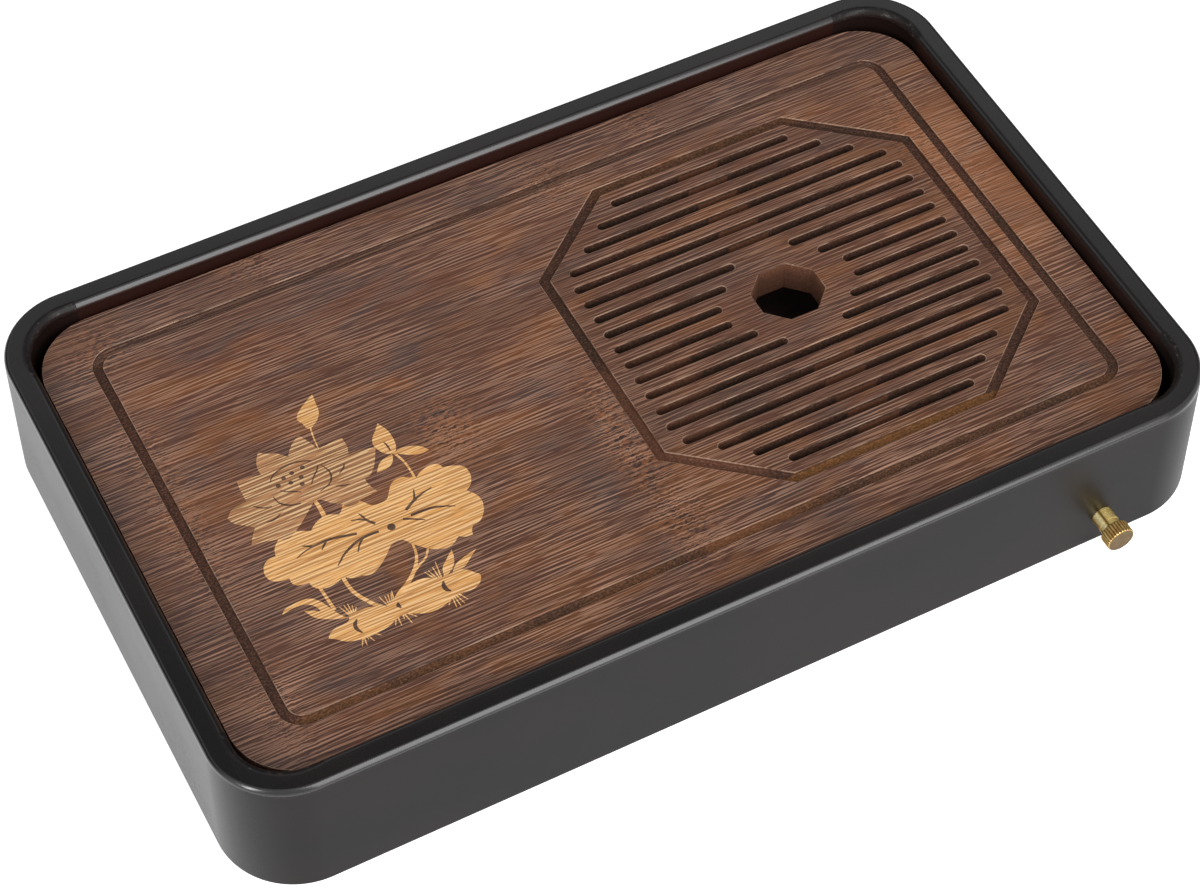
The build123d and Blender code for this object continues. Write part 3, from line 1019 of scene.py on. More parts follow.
@dataclass
class TrayFrame:
    """The black frame: four rails and four rounded corner blocks of one moulding."""

    wall: float = 10.8 * MM
    draft: float = 1.2 * MM
    base: float = 3.0 * MM
    rim: float = 61.0 * MM
    outer_round: float = 2.0 * MM
    inner_round: float = 2.5 * MM
    worked_round: float = 2.75 * MM
    base_round: float = 1.0 * MM
    inner_half: tuple[float, float] = (184.2 * MM, 109.2 * MM)
    corner: tuple[float, float] = (165.0 * MM, 90.0 * MM)
    joint: tuple[float, float] = (160.0 * MM, 85.0 * MM)
    corner_radius: float = 19.2 * MM
    arm: float = 5.0 * MM
    floor_groove: tuple[float, float, float] = (6.0 * MM, 10.1 * MM, 5.0 * MM)
    steps: int = 28
    rim_steps: int = 10
    base_steps: int = 4
    nozzle: tuple[float, float] = (143.5 * MM, 17.0 * MM)
    bore: float = 3.1 * MM
    bore_run: tuple[float, float] = (-114.0 * MM, 20.0 * MM)
    spot_face: float = 4.2 * MM
    spot_y: float = -119.4 * MM
    spot_run: float = 6.0 * MM
    lacquer: FrameLacquer = FrameLacquer("frame_lacquer")
    corner_lacquer: FrameLacquer = FrameLacquer("corner_lacquer", inner=srgb(30, 17, 14), peel=1.3,
                                                worked_roll=True)

    def section(self, name: str, inner: float, roll: float) -> bpy.types.Object:
        """Draws the moulding's section at X = 0, facing the front, open in edit mode.

        Args:
            name: the piece's name.
            inner: how far the inner wall is from the origin.
            roll: the radius of the rim's inner roll.

        Returns:
            The piece, a closed loop of selected edges.
        """
        clear_bench()
        middle_z = (self.base + self.rim) / 2
        at = (0.0, -inner - self.wall / 2, middle_z)
        bpy.ops.mesh.primitive_plane_add(size=1, location=at, rotation=(0.0, math.pi / 2, 0.0))
        piece = claim(name)
        edit(piece)
        size = (1.0, self.wall, self.rim - self.base)
        bpy.ops.transform.resize(value=size, center_override=at)
        outer = -inner - self.wall
        pick(piece, Pick.VERT, lambda _, p: near(p.y, outer) and near(p.z, self.rim))
        bpy.ops.transform.translate(value=(0.0, self.draft, 0.0))
        rounds = (
            (outer + self.draft, self.rim, self.outer_round, self.rim_steps),
            (-inner, self.rim, roll, self.rim_steps),
            (outer, self.base, self.base_round, self.base_steps),
        )
        for along, height, radius, steps in rounds:
            pick(piece, Pick.VERT, lambda _, p: near(p.y, along) and near(p.z, height))
            bpy.ops.mesh.bevel(offset=radius, segments=steps, profile=0.5, affect="VERTICES",
                               clamp_overlap=False)
        bpy.ops.mesh.select_all(action="SELECT")
        bpy.ops.mesh.delete(type="ONLY_FACE")
        bpy.ops.mesh.select_mode(type="VERT")
        bpy.ops.mesh.select_all(action="SELECT")
        return piece

    def cap_ends(self, piece: bpy.types.Object, ends: Sequence[Callable]) -> None:
        """Fills the open ends of a run.

        Args:
            piece: the piece, open in edit mode.
            ends: a test for each end's vertices.
        """
        for at_end in ends:
            pick(piece, Pick.VERT, lambda _, p: at_end(p))
            bpy.ops.mesh.edge_face_add()
        close_up()

    def rail(self, name: str, half_run: float) -> bpy.types.Object:
        """Models a rail along X about the origin, facing the front.

        Args:
            name: its name.
            half_run: half its length.

        Returns:
            The rail.
        """
        piece = self.section(name, 0.0, self.inner_round)
        bpy.ops.transform.translate(value=(-half_run, 0.0, 0.0))
        draw_out(2 * half_run, 0.0)
        ends = (lambda p: near(p.x, -half_run), lambda p: near(p.x, half_run))
        self.cap_ends(piece, ends)
        return piece

    def block(self, name: str) -> bpy.types.Object:
        """Models the front left corner block about its own centre."""
        piece = self.section(name, self.corner_radius, self.worked_round)
        bpy.ops.transform.translate(value=(self.arm, 0.0, 0.0))
        draw_out(-self.arm, 0.0)
        bpy.ops.mesh.spin(steps=self.steps, angle=math.pi / 2, center=(0.0, 0.0, 0.0),
                          axis=(0.0, 0.0, 1.0))
        draw_out(0.0, self.arm)
        ends = (lambda p: near(p.x, self.arm), lambda p: near(p.y, self.arm))
        self.cap_ends(piece, ends)
        return piece

    def floor_cutter(self) -> bpy.types.Object:
        """Makes the plate that cuts the groove for the basin's floor."""
        low, high, depth = self.floor_groove
        far_x, far_y = self.inner_half[0] + depth, self.inner_half[1] + depth
        plate = add_block("floor_cutter", (-far_x, -far_y, low), (far_x, far_y, high))
        edit(plate)
        pick(plate, Pick.EDGE, lambda e, p: near(p.z, (low + high) / 2))
        round_edges(self.corner_radius + depth, self.steps)
        close_up()
        return plate

    def build(self) -> None:
        """Builds the rails and the blocks and dresses them."""
        black, worked = self.lacquer.make(), self.corner_lacquer.make()
        long_rail = self.rail("frame_rail_front", self.joint[0])
        short_rail = self.rail("frame_rail_left", self.joint[1])
        block = self.block("frame_corner_front_left")
        turns = {"front": 0, "right": 1, "rear": 2, "left": 3}
        places = {"front": (0, -1), "right": (1, 0), "rear": (0, 1), "left": (-1, 0)}
        pieces = {
            "front": long_rail, "rear": copy_of(long_rail, "frame_rail_rear"),
            "left": short_rail, "right": copy_of(short_rail, "frame_rail_right"),
        }
        for side, piece in pieces.items():
            out_x, out_y = places[side]
            put(piece, turns[side], (out_x * self.inner_half[0], out_y * self.inner_half[1], 0.0))
        corners = {"front_left": block}
        for where in ("front_right", "rear_right", "rear_left"):
            corners[where] = copy_of(block, f"frame_corner_{where}")
        for turn, (where, piece) in enumerate(corners.items()):
            put(piece, turn, corner_place(where, self.corner))
        for piece in (*pieces.values(), *corners.values()):
            cut_away(piece, self.floor_cutter())
        self.bore_front(pieces["front"])
        for kind, material, made in (("rail", black, pieces), ("corner", worked, corners)):
            for where, piece in made.items():
                smooth(piece, 30.0)
                finish_piece(piece, Body.TRAY, "frame_lacquer", material, f"{kind}_{where}")

    def bore_front(self, rail: bpy.types.Object) -> None:
        """Bores the front rail for the nozzle, with a spot-face that its collar sits in."""
        at_x, at_z = self.nozzle
        at_y, run = self.bore_run
        cut_away(rail, add_drum("bore", (at_x, at_y, at_z), self.bore, run, turn=UPRIGHT))
        middle = (at_x, self.spot_y - self.spot_run / 2, at_z)
        cut_away(rail, add_drum("spot", middle, self.spot_face, self.spot_run, STEPS, UPRIGHT))


@dataclass
class Basin:
    """The basin's floor, the ledges and the dowels, which keep the frame's own shapes."""

    lacquer: BasinLacquer = BasinLacquer()
    dowel: RawBamboo = RawBamboo()
    ledges: tuple[str, ...] = ("ledge_front", "ledge_rear", "ledge_left", "ledge_right")

    def build(self) -> None:
        """Dresses the frame's own nodes."""
        dark = self.lacquer.make()
        for name in ("bottom_panel", *self.ledges):
            dress_node(name, dark)
        dress_node("corner_dowels", self.dowel.make())


@dataclass
class Feet:
    """Four moulded rubber feet below the basin's floor."""

    place: tuple[float, float] = (160.2 * MM, 85.2 * MM)
    top: float = 6.0 * MM
    top_radius: float = 9.0 * MM
    base_radius: float = 8.0 * MM
    edge: float = 0.6 * MM
    dish: float = 0.7 * MM
    rings: tuple[float, float] = (2.2 * MM, 0.5 * MM)
    boss: tuple[float, float] = (2.4 * MM, 0.4 * MM)
    rubber: Rubber = Rubber("foot_rubber", srgb(38, 37, 36), srgb(66, 63, 60))

    def foot(self, name: str) -> bpy.types.Object:
        """Models a foot about the Z axis, with a dished underside."""
        drum = add_drum(name, (0.0, 0.0, self.top / 2), self.top_radius, self.top, 56)
        edit(drum)
        pick(drum, Pick.VERT, lambda _, p: near(p.z, 0.0))
        ratio = self.base_radius / self.top_radius
        bpy.ops.transform.resize(value=(ratio, ratio, 1.0), center_override=(0.0, 0.0, 0.0))
        at_foot = level_with(0.0)
        pick(drum, Pick.EDGE, lambda e, _: at_foot(e))
        round_edges(self.edge, 3)
        pick(drum, Pick.FACE, lambda f, p: near(p.z, 0.0) and len(f.verts) > 4)
        for widths, lift in ((self.rings, self.dish), (self.boss, -self.dish * 0.5)):
            for width in widths:
                bpy.ops.mesh.inset(thickness=width)
            bpy.ops.transform.translate(value=(0.0, 0.0, lift))
        close_up()
        return drum

    def build(self) -> None:
        """Builds the feet and dresses them."""
        matte = self.rubber.make()
        first = self.foot("rubber_foot_front_left")
        feet = {"front_left": first}
        for where in ("front_right", "rear_left", "rear_right"):
            feet[where] = copy_of(first, f"rubber_foot_{where}")
        for where, foot in feet.items():
            put(foot, 0, corner_place(where, self.place))
            smooth(foot)
            finish_piece(foot, Body.TRAY, "foot_rubber", matte, f"foot_{where}")


def thread(name: str, centre: Point, start_y: float, radius: float, depth: float, pitch: float,
           turns: int) -> bpy.types.Object:
    """Winds a thread's ridge about an axis along Y, outwards from start_y.

    Args:
        name: the piece's name.
        centre: a point on the axis.
        start_y: where it starts.
        radius: its crest's radius.
        depth: how far its root lies inside the crest.
        pitch: its pitch.
        turns: its turns.

    Returns:
        The ridge, closed at both ends.
    """
    clear_bench()
    flank = pitch * 0.4
    bpy.ops.mesh.primitive_circle_add(vertices=3, radius=flank, location=(0.0, 0.0, 0.0))
    ridge = claim(name)
    root = radius - depth * 1.2
    corners = ((radius, 0.0), (root, flank), (root, -flank))
    for vert, (out, along) in zip(ridge.data.vertices, corners):
        vert.co = (out, along, 0.0)
    ridge.location = (centre[0], start_y, centre[2])
    winding = ridge.modifiers.new("winding", "SCREW")
    winding.axis = "Y"
    winding.angle = 2 * math.pi
    winding.screw_offset = -pitch
    winding.iterations = turns
    winding.steps = winding.render_steps = 40
    take(ridge)
    bpy.ops.object.modifier_apply(modifier=winding.name)
    freeze(ridge)
    edit(ridge)
    bpy.ops.mesh.select_mode(type="VERT")
    bpy.ops.mesh.select_all(action="DESELECT")
    bpy.ops.mesh.select_non_manifold()
    bpy.ops.mesh.fill()
    close_up()
    return ridge


@dataclass
class OnDrainAxis:
    """What is turned about the drain's axis, which runs along Y."""

    at_x: float = 143.5 * MM
    at_z: float = 17.0 * MM

    @property
    def centre(self) -> Point:
        """Gives a point on the axis."""
        return self.at_x, 0.0, self.at_z


@dataclass
class DrainNozzle(OnDrainAxis):
    """The brass nozzle with its threads, its rubber washer and its lock nut."""

    bore: float = 1.8 * MM
    shank: float = 3.0 * MM
    core: float = 2.62 * MM
    neck: float = 4.1 * MM
    lip: float = 0.12 * MM
    ring: tuple[float, float, float] = (5.2 * MM, 0.7 * MM, 0.18 * MM)
    relief: tuple[float, float] = (1.0 * MM, 1.4 * MM)
    lead: float = 0.7 * MM
    play: float = 0.05 * MM
    inner_end: float = -104.2 * MM
    wall_in: float = -109.2 * MM
    shoulder: float = -119.4 * MM
    neck_end: float = -127.0 * MM
    spigot_end: float = -130.4 * MM
    pitch: float = 1.0 * MM
    washer_radius: float = 5.4 * MM
    nut_from: float = -108.2 * MM
    nut_to: float = -105.2 * MM
    nut_flats: float = 10.0 * MM
    nut_chamfer: float = 0.45 * MM
    nut_sink: tuple[float, float, float] = (0.2 * MM, 0.3 * MM, 0.5 * MM)
    brass: Brass = Brass("polished_brass", srgb(236, 208, 128), srgb(206, 164, 78), 0.16,
                         metal=0.6, painted_light_bands=True)
    seal: Rubber = Rubber("seal_rubber", srgb(52, 50, 48), srgb(78, 74, 70))

    def nozzle(self) -> bpy.types.Object:
        """Models the nozzle."""
        ease, lip, neck = 0.3 * MM, self.lip, self.neck
        ring_at, ring_wide, ring_deep = self.ring
        ring_from, ring_to = self.shoulder - ring_at, self.shoulder - ring_at - ring_wide
        relief_from, relief_to = self.relief
        profile = (
            (self.inner_end - ease, self.bore), (self.inner_end, self.bore + ease),
            (self.inner_end, self.core - ease), (self.inner_end - ease, self.core),
            (self.wall_in - relief_from, self.core), (self.wall_in - relief_to, self.shank),
            (self.shoulder, self.shank), (self.shoulder, neck - lip),
            (self.shoulder - lip, neck), (ring_from, neck),
            (ring_from - 0.1 * MM, neck - ring_deep), (ring_to + 0.1 * MM, neck - ring_deep),
            (ring_to, neck), (self.neck_end + lip, neck), (self.neck_end, neck - lip),
            (self.neck_end, self.core), (self.spigot_end + ease, self.core),
            (self.spigot_end, self.core - ease), (self.spigot_end, self.bore + ease),
            (self.spigot_end + ease, self.bore),
        )
        body = lathe("drain_nozzle", self.centre, profile, FINE_STEPS, ring=True)
        depth = self.shank - self.core
        outer = thread("spigot_thread", self.centre, self.neck_end - self.lead, self.shank,
                       depth, self.pitch, 2)
        inner = thread("shank_thread", self.centre, self.inner_end - self.lead, self.shank,
                       depth, self.pitch, 5)
        return join([body, outer, inner], "drain_nozzle")

    def washer(self) -> bpy.types.Object:
        """Models the washer, with rounded edges."""
        hole, far, ease = self.shank + self.play, self.washer_radius, 0.25 * MM
        near_wall, off_wall = self.wall_in, self.nut_from
        profile = (
            (near_wall, hole), (near_wall, far - ease), (near_wall + ease * 0.3, far - ease * 0.3),
            (near_wall + ease, far), (off_wall - ease, far),
            (off_wall - ease * 0.3, far - ease * 0.3), (off_wall, far - ease), (off_wall, hole),
        )
        return lathe("nozzle_seal_washer", self.centre, profile, STEPS, ring=True)

    def nut(self) -> bpy.types.Object:
        """Models the hexagonal nut, with its corners turned off and a bore."""
        corner = self.nut_flats / math.sqrt(3)
        middle = (self.at_x, (self.nut_from + self.nut_to) / 2, self.at_z)
        high = self.nut_to - self.nut_from
        hexagon = add_drum("nozzle_nut", middle, corner, high, 6, UPRIGHT)
        face, over, ease = self.nut_flats / 2 + self.play, corner + 0.1 * MM, self.nut_chamfer
        turned = (
            (self.nut_from, 0.0), (self.nut_from, face), (self.nut_from + ease, over),
            (self.nut_to - ease, over), (self.nut_to, face), (self.nut_to, 0.0),
        )
        cut_away(hexagon, lathe("nut_blank", self.centre, turned, FINE_STEPS), "INTERSECT")
        hole = self.shank + self.play
        past, sink, flare = self.nut_sink
        bored = (
            (self.nut_from - past, 0.0), (self.nut_from - past, hole + flare),
            (self.nut_from + sink, hole), (self.nut_to - sink, hole),
            (self.nut_to + past, hole + flare), (self.nut_to + past, 0.0),
        )
        cut_away(hexagon, lathe("nut_bore", self.centre, bored, STEPS))
        return hexagon

    def build(self) -> None:
        """Builds the three pieces and dresses them."""
        brass = self.brass.make()
        nozzle = self.nozzle()
        smooth(nozzle)
        finish_piece(nozzle, Body.TRAY, "polished_brass", brass, "nozzle")
        washer = self.washer()
        smooth(washer)
        finish_piece(washer, Body.TRAY, "seal_rubber", self.seal.make(), "nozzle_washer")
        nut = self.nut()
        smooth(nut, 25.0)
        finish_piece(nut, Body.TRAY, "polished_brass", brass, "nozzle_lock_nut")


@dataclass
class ScrewCap(OnDrainAxis):
    """The knurled cap and the gasket in it."""

    radius: float = 5.5 * MM
    depth: float = 0.42 * MM
    ridges: int = 28
    ridge_points: int = 6
    crest_drop: float = 0.08 * MM
    end_rings: tuple[float, float] = (0.5 * MM, 3.2 * MM)
    thread_groove: float = 0.28 * MM
    thread_rows: int = 3
    rim: float = -127.3 * MM
    end: float = -132.7 * MM
    chamfer: float = 0.45 * MM
    bore: float = 3.05 * MM
    gasket_in: float = -130.4 * MM
    gasket_out: float = -131.2 * MM
    gasket_radius: float = 2.95 * MM
    brass: Brass = Brass("knurled_brass", srgb(224, 188, 118), srgb(184, 136, 72), 0.2,
                         knurled=True, metal=0.75)
    seal: Rubber = Rubber("gasket_rubber", srgb(48, 46, 45), srgb(74, 71, 68))

    def cap(self) -> bpy.types.Object:
        """Models the cap: a straight knurl, its end chamfers, and a bore with thread grooves."""
        clear_bench()
        sides = self.ridges * self.ridge_points
        at = (self.at_x, self.rim, self.at_z)
        bpy.ops.mesh.primitive_circle_add(vertices=sides, radius=self.radius, location=at,
                                          rotation=UPRIGHT, fill_type="NOTHING")
        cap = claim("knurled_cap")
        edit(cap)
        step = 2 * math.pi / sides

        def place_in_ridge(point: Vector) -> int:
            """Gives which of a ridge's points a point is."""
            angle = math.atan2(point.z - self.at_z, point.x - self.at_x)
            return round(angle / step) % self.ridge_points

        def draw_in(places: tuple[int, ...], radius: float) -> None:
            """Draws some of each ridge's points in to a radius."""
            pick(cap, Pick.VERT, lambda _, p: place_in_ridge(p) in places)
            ratio = radius / self.radius
            bpy.ops.transform.resize(value=(ratio, 1.0, ratio), center_override=at)

        draw_in((1, 5), self.radius - self.crest_drop)
        draw_in((2, 4), self.radius - self.depth * 0.8)
        draw_in((3,), self.radius - self.depth)
        tips = self.radius - self.chamfer
        last = self.rim
        bpy.ops.mesh.select_all(action="SELECT")
        for level in (self.rim - self.chamfer, self.end + self.chamfer, self.end):
            draw_out(0.0, level - last)
            last = level
        for level in (self.rim, self.end):
            middle = Vector((self.at_x, level, self.at_z))
            shape = bmesh.from_edit_mesh(cap.data)
            for vert in shape.verts:
                out = vert.co - middle
                if near(vert.co.y, level) and math.hypot(out.x, out.z) > tips:
                    vert.co = middle + out.normalized() * tips
            bmesh.update_edit_mesh(cap.data)
            pick(cap, Pick.VERT, lambda _, p: near(p.y, level))
            bpy.ops.mesh.edge_face_add()
        pick(cap, Pick.FACE, lambda f, p: near(p.y, self.end) and len(f.verts) > 8)
        for width in self.end_rings:
            bpy.ops.mesh.inset(thickness=width)
        close_up()
        deep, hole = self.gasket_out, self.bore
        turned = [(deep, 0.0), (deep, hole)]
        for row in range(self.thread_rows):
            base = deep + (0.9 + row) * MM
            turned += [(base, hole), (base + 0.3 * MM, hole + self.thread_groove),
                       (base + 0.6 * MM, hole)]
        turned += [(self.rim - 0.3 * MM, hole), (self.rim + 0.2 * MM, hole + 0.5 * MM),
                   (self.rim + 0.2 * MM, 0.0)]
        cut_away(cap, lathe("cap_bore", self.centre, turned))
        return cap

    def gasket(self) -> bpy.types.Object:
        """Models the gasket, a disc with rounded edges."""
        low, high, far = self.gasket_out, self.gasket_in, self.gasket_radius
        ease, dent = 0.2 * MM, 0.08 * MM
        profile = (
            (high, 0.0), (high, 1.4 * MM), (high - dent, 1.5 * MM),
            (high - dent, 1.9 * MM), (high, 2.0 * MM), (high, far - ease),
            (high - ease, far), (low + ease, far), (low, far - ease), (low, 0.0),
        )
        return lathe("cap_seal", self.centre, profile, 56)

    def build(self) -> None:
        """Builds the cap and the gasket and dresses them."""
        cap = self.cap()
        smooth(cap, 28.0)
        finish_piece(cap, Body.CAP, "knurled_brass", self.brass.make(), "cap")
        gasket = self.gasket()
        smooth(gasket)
        finish_piece(gasket, Body.GASKET, "seal_rubber", self.seal.make(), "cap_gasket")


@dataclass
class TeaBoard:
    """The bamboo board with its grille, its two grooves and its finger hole."""

    half: tuple[float, float] = (183.0 * MM, 108.0 * MM)
    base: float = 40.0 * MM
    top: float = 54.0 * MM
    corner: float = 25.0 * MM
    ease: float = 0.4 * MM
    grille_x: float = 78.0 * MM
    grille_half: tuple[float, float] = (80.0 * MM, 78.5 * MM)
    grille_cut: tuple[float, float] = (39.0 * MM, 31.5 * MM)
    grille_groove: tuple[float, float] = (3.9 * MM, 2.0 * MM)
    rim_groove: tuple[float, float] = (3.7 * MM, 1.6 * MM)
    rim_left: float = -163.0 * MM
    rim_right: float = 166.0 * MM
    rim_side: float = 89.4 * MM
    rim_corner: float = 7.5 * MM
    pitch: float = 8.04 * MM
    slot: float = 3.5 * MM
    rows: int = 9
    inset: float = 9.6 * MM
    hole_half: tuple[float, float] = (13.2 * MM, 12.4 * MM)
    hole_cut: float = 7.6 * MM
    ring_half: float = 26.0 * MM
    ring_reach: float = 31.8 * MM
    floor_round: float = 0.55 * MM
    corner_steps: int = 20
    groove_steps: int = 12
    slot_sides: int = 28
    sharp: float = 0.5
    over: float = 1.0 * MM
    bamboo: CarbonisedBamboo = CarbonisedBamboo()

    def octagon(self, name: str, half: tuple[float, float], cut: tuple[float, float],
                low: float, high: float) -> bpy.types.Object:
        """Makes an eight-sided block about the grille's middle.

        Args:
            name: its name.
            half: its half length and half width.
            cut: how much is cut off each corner, along X and along Y.
            low: its base.
            high: its top.

        Returns:
            The block, open in edit mode.
        """
        at, (far_x, far_y) = self.grille_x, half
        block = add_block(name, (at - far_x, -far_y, low), (at + far_x, far_y, high))
        edit(block)
        for side_x in (-1, 1):
            for side_y in (-1, 1):
                bpy.ops.mesh.select_all(action="SELECT")
                point = (at + side_x * (far_x - cut[0]), side_y * far_y, low)
                normal = Vector((side_x * cut[1], side_y * cut[0], 0.0)).normalized()
                bpy.ops.mesh.bisect(plane_co=point, plane_no=normal, use_fill=True,
                                    clear_outer=True, threshold=0.001 * MM)
        return block

    def hollow(self, block: bpy.types.Object, width: float, low: float, high: float) -> None:
        """Turns a block into a ring, with its floor's edges rounded.

        Args:
            block: the block, open in edit mode.
            width: the ring's width.
            low: the block's base.
            high: its top.
        """
        pick(block, Pick.FACE, lambda f, p: abs(f.normal.z) > 0.9)
        bpy.ops.mesh.inset(thickness=width, use_individual=True)
        bpy.ops.mesh.delete(type="FACE")
        pick(block, Pick.EDGE, lambda e, _: len(e.link_faces) == 1)
        bpy.ops.mesh.bridge_edge_loops()
        at_low = level_with(low)
        pick(block, Pick.EDGE, lambda e, _: at_low(e)
             and any(abs(f.normal.z) < 0.5 for f in e.link_faces))
        round_edges(min(self.floor_round, (high - low) / 3), 3)
        close_up()

    def span_rows(self) -> Iterable[tuple[float, float, float]]:
        """Gives the place across, the start and the end of each slot."""
        half_x, half_y = self.grille_half
        cut_x, cut_y = self.grille_cut
        slant = math.hypot(cut_x, cut_y) / cut_y
        for row in range(-self.rows, self.rows):
            at_y = (row + 0.5) * self.pitch
            reach = half_x - cut_x + (half_y - abs(at_y)) * cut_x / cut_y - self.inset * slant
            reach = min(half_x - self.inset, reach)
            if abs(at_y) > self.ring_half:
                yield at_y, self.grille_x - reach, self.grille_x + reach
            else:
                free = min(self.ring_half, self.ring_reach - abs(at_y))
                yield at_y, self.grille_x - reach, self.grille_x - free
                yield at_y, self.grille_x + free, self.grille_x + reach

    def slots(self) -> list[bpy.types.Object]:
        """Makes a cutter for each slot, drawn out from one drum."""
        low, high = self.base - self.over, self.top + self.over
        middle = (0.0, 0.0, (low + high) / 2)
        drum = add_drum("slot", middle, self.slot / 2, high - low, self.slot_sides)
        made = []
        for number, (at_y, start, end) in enumerate(self.span_rows()):
            cutter = copy_of(drum, f"slot_{number}")
            edit(cutter)
            pick(cutter, Pick.VERT, lambda _, p: p.x > 0.0001 * MM)
            bpy.ops.transform.translate(value=(end - start - self.slot, 0.0, 0.0))
            bpy.ops.object.mode_set(mode="OBJECT")
            put(cutter, 0, (start + self.slot / 2, at_y, 0.0))
            made.append(cutter)
        bpy.data.meshes.remove(drum.data)
        return made

    def plate(self) -> bpy.types.Object:
        """Makes the plate with rounded corners."""
        far_x, far_y = self.half
        plate = add_block("tea_board_panel", (-far_x, -far_y, self.base), (far_x, far_y, self.top))
        edit(plate)
        pick(plate, Pick.EDGE, lambda e, p: near(p.z, (self.base + self.top) / 2))
        round_edges(self.corner, self.corner_steps)
        close_up()
        return plate

    def build(self) -> None:
        """Cuts the board, eases its edges and dresses it."""
        board = self.plate()
        over = self.top + self.over
        width, deep = self.grille_groove
        ring = self.octagon("grille_ring", self.grille_half, self.grille_cut, self.top - deep,
                            over)
        self.hollow(ring, width, self.top - deep, over)
        width, deep = self.rim_groove
        low = (self.rim_left - width / 2, -self.rim_side - width / 2, self.top - deep)
        high = (self.rim_right + width / 2, self.rim_side + width / 2, over)
        border = add_block("rim_ring", low, high)
        edit(border)
        pick(border, Pick.EDGE, lambda e, p: near(p.z, (self.top - deep + over) / 2))
        round_edges(self.rim_corner + width / 2, self.groove_steps)
        self.hollow(border, width, self.top - deep, over)
        cut = (self.hole_cut, self.hole_cut)
        hole = self.octagon("finger_hole", self.hole_half, cut, self.base - self.over, over)
        close_up()
        cut_away(board, join([ring, border, hole, *self.slots()], "cutters"))
        edit(board)
        for height, ease, steps in ((self.top, self.ease, 2), (self.base, self.ease * 0.7, 1)):
            at_height = level_with(height)
            pick(board, Pick.EDGE, lambda e, p: at_height(e) and len(e.link_faces) == 2
                 and e.calc_face_angle(0.0) > self.sharp)
            round_edges(ease, steps)
        close_up()
        smooth(board, 32.0)
        finish_piece(board, Body.BOARD, "board_bamboo", self.bamboo.make(), "tea_board")


@dataclass(frozen=True)
class Stroke:
    """A tapered line on the chart: its knots and its widths at start, middle and end."""

    knots: str
    widths: tuple[float, float, float]


